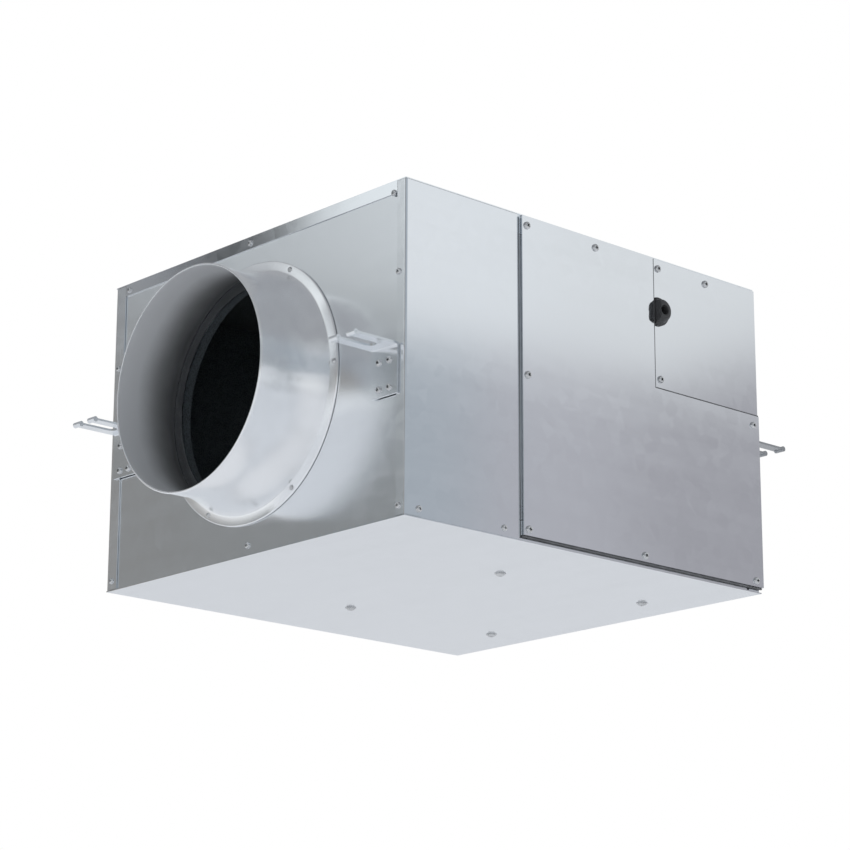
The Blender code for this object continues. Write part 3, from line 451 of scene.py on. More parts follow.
def finish_for(kind):
    """The shared finishes, made once each."""
    if kind in bpy.data.materials:
        return bpy.data.materials[kind]
    look = bpy.context.scene.duct_fan_finishes
    sheet, rough, pressed = tuple(look.sheet), look.sheet_roughness, tuple(look.pressed)
    makers = {
        "casing_sheet": lambda name: sheet_metal(name, sheet, rough),
        "cover_sheet": lambda name: sheet_metal(name, sheet, rough, twist=(0.100, 0.28, 0.058)),
        "side_sheet": lambda name: sheet_metal(name, shade(sheet, 0.99), rough * 0.85, ends=2.5),
        "end_sheet": lambda name: sheet_metal(name, sheet, rough * 2.0, rolled=0.9),
        # painted shade: the casing sheet darkened to 0.45 for the discharge brackets' shaded side
        "shaded_bracket_sheet": lambda name: sheet_metal(name, shade(sheet, 0.45), 0.3, spangle=90),
        "duct_inside": lambda name: duct_inside(name, (0.88, 0.90, 0.92)),
        # painted shade: the casing sheet darkened slightly for the underside
        "shaded_underside_sheet": lambda name: sheet_metal(name, shade(sheet, 0.95), rough * 1.5, (40, 3, 3)),
        # painted shade: the casing sheet darkened to 0.72 for the parts inside the cabinet and the access
        # post
        "shaded_inner_sheet": lambda name: sheet_metal(name, shade(sheet, 0.72), 0.32, spangle=60, metallic=0.9),
        "pressed_sheet": lambda name: sheet_metal(name, pressed, 0.22, (6, 6, 6), 110, 0.03, 0.95),
        "plated_steel": lambda name: turned_metal(name, tuple(look.plated), 0.24),
        "bright_steel": lambda name: turned_metal(name, (0.74, 0.75, 0.76), 0.16, (1, 14, 1)),
        "black_rubber": lambda name: moulded(name, tuple(look.rubber), 0.42),
        "bush_rubber": lambda name: moulded(name, (0.040, 0.041, 0.043), 0.5),
        "acoustic_foam": lambda name: foam(name, tuple(look.foam)),
        # painted shade: dark grey foam for the strips that stand in for the shadow in the access panel's
        # seams
        "seam_shade_foam": lambda name: moulded(name, (0.150, 0.152, 0.158), 0.8, 1400, 0.2),
        "motor_enamel": lambda name: enamel(name, tuple(look.enamel)),
        "core_laminations": lambda name: laminated(name, (0.34, 0.33, 0.32)),
        "copper_windings": lambda name: windings(name),
        "terminal_plastic": lambda name: moulded(name, tuple(look.cream), 0.38, 600, 0.04),
        "capacitor_plastic": lambda name: moulded(name, tuple(look.grey), 0.40, 700, 0.04),
        "lead_sheath": lambda name: moulded(name, (0.014, 0.014, 0.015), 0.48, 800, 0.05),
        "brass": lambda name: turned_metal(name, (0.78, 0.56, 0.25), 0.22),
        "wire_blue": lambda name: moulded(name, (0.03, 0.09, 0.42), 0.4, 800, 0.03),
        "wire_brown": lambda name: moulded(name, (0.16, 0.06, 0.03), 0.4, 800, 0.03),
        "wire_green": lambda name: moulded(name, (0.10, 0.33, 0.06), 0.4, 800, 0.03),
    }
    return makers[kind](kind)


# Mesh helpers ------------------------------------------------------------------------------------


def repaint(kind, *nodes):
    """Gives CAD nodes that keep their shape a finish."""
    for name in nodes:
        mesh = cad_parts[name].data
        mesh.materials.clear()
        mesh.materials.append(finish_for(kind))


def piece(name, bm, kind, body, stands_for=()):
    """Closes a bmesh as a smooth-shaded piece that rides on a body."""
    bmesh.ops.remove_doubles(bm, verts=bm.verts, dist=0.001 * MM)
    bmesh.ops.recalc_face_normals(bm, faces=bm.faces)
    for face in bm.faces:
        face.smooth = True
    for edge in bm.edges:
        edge.smooth = len(edge.link_faces) == 2 and edge.calc_face_angle() < SHARP_ANGLE
    mesh = bpy.data.meshes.new(name)
    bm.to_mesh(mesh)
    bm.free()
    mesh.materials.append(finish_for(kind))
    obj = bpy.data.objects.new(name, mesh)
    bpy.context.scene.collection.objects.link(obj)
    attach(obj, body)
    if stands_for:
        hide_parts(*stands_for)
    return obj


def at(point, axis):
    """Places a shape made along +Z at a point, pointing along an axis."""
    return Matrix.Translation(point) @ TURN[axis]


def add_spun(bm, profile, place, steps=32, closed=True):
    """Spins a profile of (radius, height) points about +Z and puts it in place."""
    verts = [bm.verts.new((radius, 0, height)) for radius, height in profile]
    edges = [bm.edges.new(pair) for pair in zip(verts, verts[1:], strict=False)]
    if closed:
        edges.append(bm.edges.new((verts[-1], verts[0])))
    bmesh.ops.spin(
        bm,
        geom=verts + edges,
        cent=(0, 0, 0),
        axis=(0, 0, 1),
        dvec=(0, 0, 0),
        angle=2 * math.pi,
        steps=steps,
        use_merge=True,
        use_duplicate=False,
    )
    found = set(verts)
    pending = list(found)
    while pending:
        vert = pending.pop()
        for edge in vert.link_edges:
            other = edge.other_vert(vert)
            if other not in found:
                found.add(other)
                pending.append(other)
    bmesh.ops.transform(bm, matrix=place, verts=list(found))


def add_box(bm, low, high, bevel):
    """A box between two corners, with its edges rounded."""
    low, high = Vector(low), Vector(high)
    size = Matrix.Diagonal((*(high - low), 1))
    made = bmesh.ops.create_cube(bm, size=1, matrix=Matrix.Translation((low + high) / 2) @ size)
    edges = list({edge for vert in made["verts"] for edge in vert.link_edges})
    bmesh.ops.bevel(bm, geom=edges, offset=bevel, affect="EDGES", segments=2, profile=0.5, material=-1)


def add_slab(bm, outline, depth, place):
    """A flat outline in X and Y, raised along Z by its depth and put in place."""
    base = bm.faces.new([bm.verts.new((x, y, 0)) for x, y in outline])
    grown = bmesh.ops.extrude_face_region(bm, geom=[base], use_keep_orig=True)["geom"]
    top = [g for g in grown if isinstance(g, bmesh.types.BMVert)]
    bmesh.ops.translate(bm, vec=(0, 0, depth), verts=top)
    bmesh.ops.transform(bm, matrix=place, verts=list(base.verts) + top)


def arc(centre, radius, start, end, steps):
    """Points along an arc, with its angles in degrees."""
    for i in range(steps + 1):
        angle = math.radians(start + (end - start) * i / steps)
        yield centre[0] + radius * math.cos(angle), centre[1] + radius * math.sin(angle)


def add_pan_head(bm, point, axis, radius, height, turn=0.0, shank=0.0, shank_radius=2.0 * MM):
    """A pan head with a cross recess, and its shank below."""
    rim = radius * 0.52
    place = at(point, axis) @ Matrix.Rotation(turn, 4, "Z")
    side = [(rim, height), (radius * 0.80, height * 0.86), (radius * 0.96, height * 0.55)]
    side += [(radius, height * 0.2), (radius, 0)]
    side += [(shank_radius, 0), (shank_radius, -shank), (0, -shank - 1 * MM)] if shank else [(0, 0)]
    before = set(bm.verts)
    add_spun(bm, side, Matrix.Identity(4), 24, closed=False)
    bmesh.ops.remove_doubles(bm, verts=[v for v in bm.verts if v not in before], dist=0.001 * MM)
    ring = [e for e in bm.edges if e.is_boundary and all(v not in before for v in e.verts)]
    arm, half = rim * 0.86, rim * 0.24
    corners = [(arm, half), (half, half), (half, arm), (-half, arm), (-half, half), (-arm, half)]
    corners += [(-x, -y) for x, y in corners]
    cross = [bm.verts.new((x, y, height)) for x, y in corners]
    loop = [bm.edges.new((a, b)) for a, b in zip(cross, cross[1:] + cross[:1], strict=True)]
    bmesh.ops.bridge_loops(bm, edges=ring + loop)
    floor = bmesh.ops.extrude_edge_only(bm, edges=loop)["geom"]
    sunk = [g for g in floor if isinstance(g, bmesh.types.BMVert)]
    bmesh.ops.scale(bm, vec=(0.7, 0.7, 1), verts=sunk)
    bmesh.ops.translate(bm, vec=(0, 0, -height * 0.55), verts=sunk)
    bmesh.ops.contextual_create(bm, geom=[g for g in floor if isinstance(g, bmesh.types.BMEdge)])
    bmesh.ops.transform(bm, matrix=place, verts=[v for v in bm.verts if v not in before])


def screw(name, point, axis, body="root", turn=0.0, shank=0.0, stands_for=(), scale=1.0):
    """A screw head as a piece of its own."""
    sizes = bpy.context.scene.duct_fan_hardware
    bm = bmesh.new()
    add_pan_head(bm, point, axis, sizes.head_radius * scale, sizes.head_height * scale, turn, shank)
    piece(name, bm, "plated_steel", body, stands_for)


# Operators ---------------------------------------------------------------------------------------


class Maker:
    """Shared switches of this add-on's operators."""

    bl_options = {"REGISTER", "UNDO"}


class DUCTFAN_OT_casing(Maker, bpy.types.Operator):
    """Finish the cabinet's sheets and add the screws that hold them together"""

    bl_idname = "duct_fan.casing"
    bl_label = "Casing"

    def execute(self, context):
        repaint("casing_sheet", "access_panel", "top_panel")
        repaint("cover_sheet", "electrical_cover")
        repaint("side_sheet", "front_side_panel", "rear_side_panel")
        repaint("end_sheet", "intake_end_panel", "discharge_end_panel")
        # painted shade: the bottom panel takes the slightly darkened sheet
        repaint("shaded_underside_sheet", "bottom_panel")
        # painted shade: the partition, terminal box and access post take the darkened sheet
        repaint("shaded_inner_sheet", "outlet_partition", "terminal_box", "access_post")
        self.side_screws()
        self.end_screws()
        return {"FINISHED"}

    def side_screws(self):
        """Screws along the foot of the fixed front panel."""
        for number, x in enumerate(FOOT_SCREWS_X, 1):
            point = (x, FRONT_FACE, FOOT_SCREW_Z)
            screw(f"front_panel_screw_{number}", point, "-Y", turn=0.7 * number, scale=0.86)

    def end_screws(self):
        """Screws along the edges of the two ends."""
        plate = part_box("discharge_end_panel")[1].x
        places = [(y, z, END_FACE) for y, z in FLANGE_SCREWS] + [(0, END_SCREW_LOW, plate)]
        for end, axis, sign in ENDS:
            for number, (y, z, face) in enumerate(places, 1):
                point = (sign * face, y, z)
                screw(f"{end}_end_screw_{number}", point, axis, turn=0.9 * number, scale=0.82)


class DUCTFAN_OT_collars(Maker, bpy.types.Operator):
    """Make the two duct collars and their rivets"""

    bl_idname = "duct_fan.collars"
    bl_label = "Duct collars"

    def execute(self, context):
        for end, axis, sign in ENDS:
            node = f"{end}_collar"
            low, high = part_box(node)
            foot = high.x if sign < 0 else low.x
            self.collar(node, (foot, 0, DUCT_Z), axis, high.x - low.x)
            self.rivets(end, foot + sign * COLLAR_FLANGE_SHEET, axis)
        return {"FINISHED"}

    def collar(self, node, foot, axis, length):
        """A flat flange, a swelling neck and a straight barrel with a rolled bead at its rim."""
        wall, barrel, flare, base = COLLAR_WALL, COLLAR_BARREL, COLLAR_FLARE, COLLAR_FLANGE
        straight = COLLAR_STRAIGHT
        run = length - straight - 3 * MM
        shares = [i / 14 for i in range(15)]
        swell = [
            (barrel + (flare - barrel) * (1 - math.cos(share * math.pi / 2)), length - straight - run * share)
            for share in shares
        ]
        bead = arc((barrel - 0.4 * MM, length - 1.6 * MM), 1.3 * MM, 75, -60, 8)
        profile = [(barrel - 0.2 * MM, length), *bead, *swell]
        profile += [(flare + 1.6 * MM, 2.6 * MM), (base - 0.8 * MM, 2.2 * MM), (base, 1.6 * MM)]
        profile += [(base, 0.2 * MM), (base - 0.6 * MM, 0.1 * MM), (flare - 0.5 * MM, 0.1 * MM)]
        profile += [(radius - wall, height) for radius, height in reversed(swell)]
        profile += [(barrel - wall, length - 0.6 * MM), (barrel - wall + 0.5 * MM, length)]
        bm = bmesh.new()
        add_spun(bm, profile, at(foot, axis), 160)
        shell = piece(f"{node}_shell", bm, "pressed_sheet", "root", (node,))
        shell.data.materials.append(finish_for("duct_inside"))
        for face in shell.data.polygons:
            outward = Vector((0, face.center.y, face.center.z - DUCT_Z)).normalized()
            face.material_index = 1 if face.normal.dot(outward) < -0.5 else 0

    def rivets(self, end, face, axis):
        """Rivets round the collar's flange."""
        sizes = bpy.context.scene.duct_fan_hardware
        ring, radius = RIVET_CIRCLE, sizes.rivet_radius
        dome = [(0, 1.7 * MM), (radius * 0.45, 1.5 * MM), (radius * 0.8, 0.9 * MM)]
        dome += [(radius, 0.1 * MM), (0, 0.1 * MM)]
        for number in range(sizes.rivets):
            angle = RIVET_TURN + 2 * math.pi * number / sizes.rivets
            bm = bmesh.new()
            place = (face, -ring * math.cos(angle), DUCT_Z + ring * math.sin(angle))
            add_spun(bm, dome, at(place, axis), 20, closed=False)
            piece(f"{end}_collar_rivet_{number + 1}", bm, "plated_steel", "root")


class DUCTFAN_OT_brackets(Maker, bpy.types.Operator):
    """Make the four slotted hanger brackets and their screws"""

    bl_idname = "duct_fan.brackets"
    bl_label = "Hanger brackets"

    def execute(self, context):
        for end, axis, sx in ENDS:
            for side, sy in (("front", -1), ("rear", 1)):
                self.bracket(f"hanger_bracket_{end}_{side}", axis, sx, sy)
        return {"FINISHED"}

    def bracket(self, node, axis, sx, sy):
        """A bent plate with an open slot, its two prongs rolled at the tip."""
        low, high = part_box(node)
        foot = min(abs(low.x), abs(high.x))
        reach = max(abs(low.x), abs(high.x)) - foot
        width, slot, sheet, drop = BRACKET_WIDTH, BRACKET_SLOT, BRACKET_SHEET, BRACKET_DROP
        bend, roll = 3.2 * MM, 3.1 * MM
        top = high.z - 1.05 * MM
        mirror = Matrix.Diagonal((sx, 1, 1, 1))
        place = Matrix.Translation((0, sy * BRACKET_Y, top)) @ mirror @ Matrix.Translation((foot, 0, 0))
        tip, inner = reach - roll, reach - BRACKET_SLOT_DEPTH
        half = width / 2
        outline = [(bend, -half), (tip, -half), (tip, -slot / 2), (inner, -slot / 2)]
        outline += list(arc((inner, 0), slot / 2, 270, 90, 12))[1:-1]
        outline += [(inner, slot / 2), (tip, slot / 2), (tip, half), (bend, half)]
        bm = bmesh.new()
        add_slab(bm, outline, sheet, place @ Matrix.Translation((0, 0, -sheet)))
        section = [(sheet, -drop), (0, -drop), *arc((bend, -bend), bend, 180, 90, 6)]
        section += list(arc((bend, -bend), bend - sheet, 90, 180, 4))
        lay = Matrix(((1, 0, 0, 0), (0, 0, -1, half), (0, 1, 0, 0), (0, 0, 0, 1)))
        add_slab(bm, section, width, place @ lay)
        prong = (width - slot) / 2
        for side in (-1, 1):
            centre = (reach - roll, side * (slot / 2 + prong / 2) + prong / 2, -sheet / 2)
            near, far = 0.4 * MM, prong - 0.4 * MM
            curl = [(0, near), (roll, near), (roll, far), (0, far)]
            add_spun(bm, curl, place @ at(centre, "-Y"), 20, closed=False)
        # painted shade: the discharge brackets take the darkened copy of the sheet
        finish = "end_sheet" if sx < 0 else "shaded_bracket_sheet"
        piece(f"{node}_plate", bm, finish, "root", (node,))
        for number, (y, z) in enumerate(BRACKET_SCREWS, 1):
            point = (sx * (foot + sheet), sy * y, z)
            screw(f"{node}_screw_{number}", point, axis, turn=0.6 * number, scale=0.9)


class DUCTFAN_OT_access_side(Maker, bpy.types.Operator):
    """Make the screws of the access panel and cover, and the cable bush"""

    bl_idname = "duct_fan.access_side"
    bl_label = "Access side"

    def execute(self, context):
        panel = ("access_screw", 7, "access_cover", PANEL_FACE)
        cover = ("cover_screw", 3, "electrical_box_cover", COVER_FACE)
        for prefix, count, body, face in (panel, cover):
            for number in range(1, count + 1):
                node = f"{prefix}_{number}"
                low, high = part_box(node)
                middle = (low + high) / 2
                shank = high.y - face - 1.6 * MM
                point = (middle.x, face - 0.1 * MM, middle.z)
                screw(f"{node}_head", point, "-Y", body, 0.8 * number, shank, (node,))
        self.bush()
        self.seam_shade_strips()
        return {"FINISHED"}

    def seam_shade_strips(self):
        """Dark foam strips round the access panel's notch and along its lower edge, painted shade that stands
        in for the shadow in the seams.
        """
        low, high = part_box("access_panel")
        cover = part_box("electrical_cover")[0]
        left, foot, face = cover.x - 1.4 * MM, cover.z - 1.4 * MM, PANEL_FACE + 0.3 * MM
        back, width = FRONT_FACE + 0.8 * MM, 1.1 * MM
        right, top = high.x - 0.5 * MM, high.z - 0.5 * MM
        bm = bmesh.new()
        outline = [(left, top), (left, foot), (right, foot), (right, foot + width)]
        outline += [(left + width, foot + width), (left + width, top)]
        upright = Matrix(((1, 0, 0, 0), (0, 0, 1, face), (0, 1, 0, 0), (0, 0, 0, 1)))
        add_slab(bm, outline, back - face, upright)
        strip = (low.x + 1 * MM, back - 2.6 * MM, low.z - 1.9 * MM)
        add_box(bm, strip, (right, back, low.z - 0.2 * MM), 0.3 * MM)
        # painted shade: the strips darken the seams where the shadow falls
        piece("access_seam_shade_strip", bm, "seam_shade_foam", "access_cover")

    def bush(self):
        """A round rubber bush with its left side cut flat against the cover's edge, and ribs on the flat."""
        low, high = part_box("cable_bush")
        radius, bore = 16.4 * MM, 5.1 * MM
        centre = Vector((high.x - 16.5 * MM, COVER_FACE, (low.z + high.z) / 2))
        height = COVER_FACE - low.y
        neck, back = 12.5 * MM, COVER_FACE - high.y
        profile = [
            (bore, height - 3 * MM),
            (bore + 0.6 * MM, height - 0.6 * MM),
            (bore + 1.8 * MM, height - 0.1 * MM),
            (radius * 0.62, height - 0.7 * MM),
            (radius * 0.74, height - 2.5 * MM),
            (radius * 0.80, height * 0.52),
            (radius * 0.86, height * 0.34),
            (radius * 0.97, height * 0.26),
            (radius, height * 0.18),
            (radius, 0.5 * MM),
            (radius - 0.4 * MM, 0.1 * MM),
            (neck, 0.1 * MM),
            (neck, -1.6 * MM),
            (neck + 1.5 * MM, -1.7 * MM),
            (neck + 1.2 * MM, back + 0.05 * MM),
            (bore + 1 * MM, back + 0.05 * MM),
            (bore, back + 0.9 * MM),
        ]
        bm = bmesh.new()
        add_spun(bm, profile, at(centre, "-Y"), 64)
        bmesh.ops.remove_doubles(bm, verts=bm.verts, dist=0.001 * MM)
        everything = bm.verts[:] + bm.edges[:] + bm.faces[:]
        bmesh.ops.bisect_plane(
            bm,
            geom=everything,
            dist=0.01 * MM,
            plane_co=(low.x, 0, 0),
            plane_no=(1, 0, 0),
            clear_inner=True,
        )
        bmesh.ops.holes_fill(bm, edges=[e for e in bm.edges if e.is_boundary], sides=0)
        body = "electrical_box_cover"
        piece("cable_bush_moulding", bm, "bush_rubber", body, ("cable_bush",))
        bm = bmesh.new()
        for out, half in BUSH_RIBS:
            middle = Vector((low.x, COVER_FACE - out * MM, centre.z))
            reach = Vector((0.3, 0.5, half)) * MM
            add_box(bm, middle - reach, middle + reach, 0.2 * MM)
        piece("cable_bush_ribs", bm, "bush_rubber", body)


class DUCTFAN_OT_blower(Maker, bpy.types.Operator):
    """Finish the scroll and make its inlet rings, wheel and mounting bolts"""

    bl_idname = "duct_fan.blower"
    bl_label = "Blower"

    def execute(self, context):
        # painted shade: the scroll, feet and motor bracket take the darkened sheet
        repaint("shaded_inner_sheet", "scroll_wrap", "scroll_side_front", "scroll_side_rear")
        repaint("shaded_inner_sheet", "blower_foot_front", "blower_foot_rear", "motor_bracket")
        for side, axis in (("front", "-Y"), ("rear", "+Y")):
            self.inlet_ring(f"inlet_ring_{side}", axis)
        self.wheel()
        for number in range(1, 5):
            self.bolt(f"blower_bolt_{number}", number)
        return {"FINISHED"}

    def inlet_ring(self, node, axis):
        """A spun ring whose mouth curves into the wheel."""
        low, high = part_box(node)
        outer = (high.x - low.x) / 2
        throat, depth = outer - 18 * MM, 12 * MM
        face = low.y + 3 * MM if axis == "-Y" else high.y - 3 * MM
        rim = outer - 0.1 * MM
        profile = [(rim, 1.9 * MM), (rim, 0.4 * MM), (throat + 5.2 * MM, 0.4 * MM)]
        profile += list(arc((throat + 10.4 * MM, -6.6 * MM), 8.8 * MM, 130, 180, 8))
        profile += [(throat + 1.5 * MM, -depth), (throat + 0.2 * MM, -depth)]
        profile += list(arc((throat + 9.8 * MM, -6.8 * MM), 9.6 * MM, 180, 92, 12))
        bm = bmesh.new()
        add_spun(bm, profile, at((WHEEL_CENTRE.x, face, WHEEL_CENTRE.z), axis), 96)
        piece(f"{node}_mouth", bm, "pressed_sheet", "root", (node,))

    def wheel(self):
        """The double-width wheel: centre disc, curved blades and a rolled ring at each end."""
        blades = bpy.context.scene.duct_fan_hardware.blades
        outer, half = (WHEEL_HIGH.x - WHEEL_LOW.x) / 2 - 0.5 * MM, (WHEEL_HIGH.y - WHEEL_LOW.y) / 2
        inner = outer - BLADE_CHORD
        place = at(WHEEL_CENTRE, "+Y")
        bm = bmesh.new()
        bore, rim = 17.1 * MM, outer - 1.2 * MM
        disc = [(bore, 1 * MM), (rim, 1 * MM), (rim, -1 * MM), (bore, -1 * MM)]
        add_spun(bm, disc, place, 96)
        for side in (-1, 1):
            foot, top, edge = half - 1.8 * MM, half - 0.2 * MM, outer + 0.4 * MM
            lip = [(outer - 8.5 * MM, foot), (outer - 8.5 * MM, top), (outer, top)]
            lip += [(edge, half - 0.8 * MM), (edge, foot)]
            add_spun(bm, [(r, side * h) for r, h in lip], place, 96)
        for number in range(blades):
            self.blade(bm, 2 * math.pi * number / blades, inner, outer - 0.6 * MM, half - 0.6 * MM)
        piece("impeller_wheel_fine", bm, "pressed_sheet", "impeller", ("impeller_wheel",))

    def blade(self, bm, angle, inner, outer, half, steps=8, sheet=0.9 * MM):
        """One forward-curved blade, the full width of the wheel."""
        middle = []
        for i in range(steps + 1):
            share = i / steps
            radius = inner + (outer - inner) * share
            lean = angle - BLADE_HOLLOW * math.sin(share * math.pi) + BLADE_LEAN * share**2
            middle.append(Vector((radius * math.sin(lean), radius * math.cos(lean))))
        sides = ([], [])
        for i, point in enumerate(middle):
            run = middle[min(i + 1, steps)] - middle[max(i - 1, 0)]
            normal = Vector((-run.y, run.x)).normalized() * sheet / 2
            sides[0].append(point + normal)
            sides[1].append(point - normal)
        outline = [(p.x, p.y) for p in (*sides[0], *reversed(sides[1]))]
        stand = Matrix(((1, 0, 0, 0), (0, 0, 1, 0), (0, 1, 0, 0), (0, 0, 0, 1)))
        place = Matrix.Translation(WHEEL_CENTRE) @ stand @ Matrix.Translation((0, 0, -half))
        add_slab(bm, outline, 2 * half, place)

    def bolt(self, node, number):
        """A bolt that holds the blower's foot to the bottom panel, with its washer."""
        low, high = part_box(node)
        middle = (low + high) / 2
        radius = (high.x - low.x) / 2
        base = -0.1 * MM
        bm = bmesh.new()
        bore, rim, thick = 3.4 * MM, radius - 0.1 * MM, 0.7 * MM
        washer = [(bore, 0), (rim, 0), (rim, thick), (bore, thick)]
        add_spun(bm, washer, at((middle.x, middle.y, base), "-Z"), 32)
        head = (middle.x, middle.y, base - thick)
        add_pan_head(bm, head, "-Z", 4.8 * MM, 2.3 * MM, 0.4 * number, 11 * MM, 2.9 * MM)
        piece(f"{node}_head", bm, "plated_steel", "root", (node,))


class DUCTFAN_OT_motor(Maker, bpy.types.Operator):
    """Make the motor's fine pieces"""

    bl_idname = "duct_fan.motor"
    bl_label = "Motor"

    def execute(self, context):
        repaint("motor_enamel", "motor_housing", "motor_cap_front", "motor_cap_rear")
        repaint("bright_steel", "motor_shaft", "bearing_front", "bearing_rear", "impeller_hub")
        repaint("core_laminations", "motor_rotor")
        repaint("copper_windings", "motor_stator")
        low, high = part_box("motor_cap_front")
        axis_x, axis_z = (low.x + high.x) / 2, (low.z + high.z) / 2
        for number in range(1, 5):
            angle = math.radians(45 + 90 * number)
            across, up = MOTOR_BOLT_CIRCLE * math.sin(angle), MOTOR_BOLT_CIRCLE * math.cos(angle)
            point = (axis_x + across, low.y, axis_z + up)
            screw(f"motor_bolt_{number}", point, "-Y", turn=number, scale=0.8)
        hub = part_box("impeller_hub")[1]
        boss = (axis_x, hub.y - 5.5 * MM, axis_z + 13.7 * MM)
        screw("hub_set_screw", boss, "+Z", "impeller", turn=0.4, scale=0.6)
        return {"FINISHED"}


class DUCTFAN_OT_electrics(Maker, bpy.types.Operator):
    """Finish the terminal block, capacitor, grommet and motor lead"""

    bl_idname = "duct_fan.electrics"
    bl_label = "Electrics"

    def execute(self, context):
        repaint("terminal_plastic", "terminal_block")
        repaint("capacitor_plastic", "capacitor")
        repaint("bright_steel", "capacitor_clip")
        repaint("black_rubber", "lead_grommet")
        repaint("lead_sheath", "motor_lead")
        low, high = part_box("terminal_block")
        face, pitch = low.y + 9 * MM, (high.x - low.x - 3 * MM) / 4
        for way in range(4):
            x = low.x + 1.5 * MM + pitch * (way + 0.5)
            for row, z in (("upper", high.z - 6 * MM), ("lower", low.z + 6 * MM)):
                self.terminal(f"terminal_screw_{way + 1}_{row}", (x, face, z), 0.5 * way)
        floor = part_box("terminal_box")[1].y - CASE_SHEET
        screw("earth_screw", (EARTH_SCREW.x, floor, EARTH_SCREW.z), "-Y", turn=0.3, scale=0.9)
        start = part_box("motor_lead")[1]
        for way, kind in enumerate(("wire_blue", "wire_brown", "wire_green")):
            x = low.x + 1.5 * MM + pitch * (way + 0.5)
            self.core(f"{kind}_core", kind, start.x, (x, face - 1.5 * MM, low.z + 1 * MM), way)
        return {"FINISHED"}

    def terminal(self, name, point, turn):
        """A brass screw of the terminal block."""
        bm = bmesh.new()
        add_pan_head(bm, point, "-Y", 3.3 * MM, 1.6 * MM, turn)
        piece(name, bm, "brass", "root")

    def core(self, name, kind, start_x, end, way):
        """One insulated core from the lead's cut end to its terminal."""
        drop = (1.6 - 1.6 * way) * MM
        y = LEAD_END.y + drop
        start = Vector((start_x - 3 * MM, y, LEAD_END.z))
        bend = Vector((start_x + 4 * MM, y, LEAD_END.z - (5 + 3 * way) * MM))
        under = Vector((end[0] - 2 * MM, end[1] - 4 * MM, end[2] - (5 - way) * MM))
        curve = bpy.data.curves.new(name, "CURVE")
        curve.dimensions = "3D"
        curve.bevel_depth = 1.25 * MM
        curve.bevel_resolution = 3
        curve.use_fill_caps = True
        spline = curve.splines.new("BEZIER")
        spline.bezier_points.add(3)
        for point, place in zip(spline.bezier_points, (start, bend, under, Vector(end)), strict=True):
            point.co = place
            point.handle_left_type = point.handle_right_type = "AUTO"
        curve.materials.append(finish_for(kind))
        wire = bpy.data.objects.new(name, curve)
        bpy.context.scene.collection.objects.link(wire)
        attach(wire, "root")


class DUCTFAN_OT_lining(Maker, bpy.types.Operator):
    """Lay the acoustic foam on the inside of the cabinet"""

    bl_idname = "duct_fan.lining"
    bl_label = "Acoustic lining"

    def execute(self, context):
        for node in ("lining_top", "lining_rear", "lining_front", "lining_intake", "lining_access"):
            self.board(node, "access_cover" if node == "lining_access" else "root")
        return {"FINISHED"}

    def board(self, node, body):
        """A foam board cut from the node's own solid, with its edges softened."""
        bm = bmesh.new()
        bm.from_mesh(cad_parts[node].data)
        bmesh.ops.remove_doubles(bm, verts=bm.verts, dist=0.01 * MM)
        bmesh.ops.dissolve_limit(bm, angle_limit=math.radians(2), verts=bm.verts[:], edges=bm.edges[:])
        bmesh.ops.bevel(
            bm, geom=bm.edges[:], offset=1.5 * MM, affect="EDGES", segments=2, profile=0.5, material=-1
        )
        obj = piece(f"{node}_board", bm, "acoustic_foam", body, (node,))


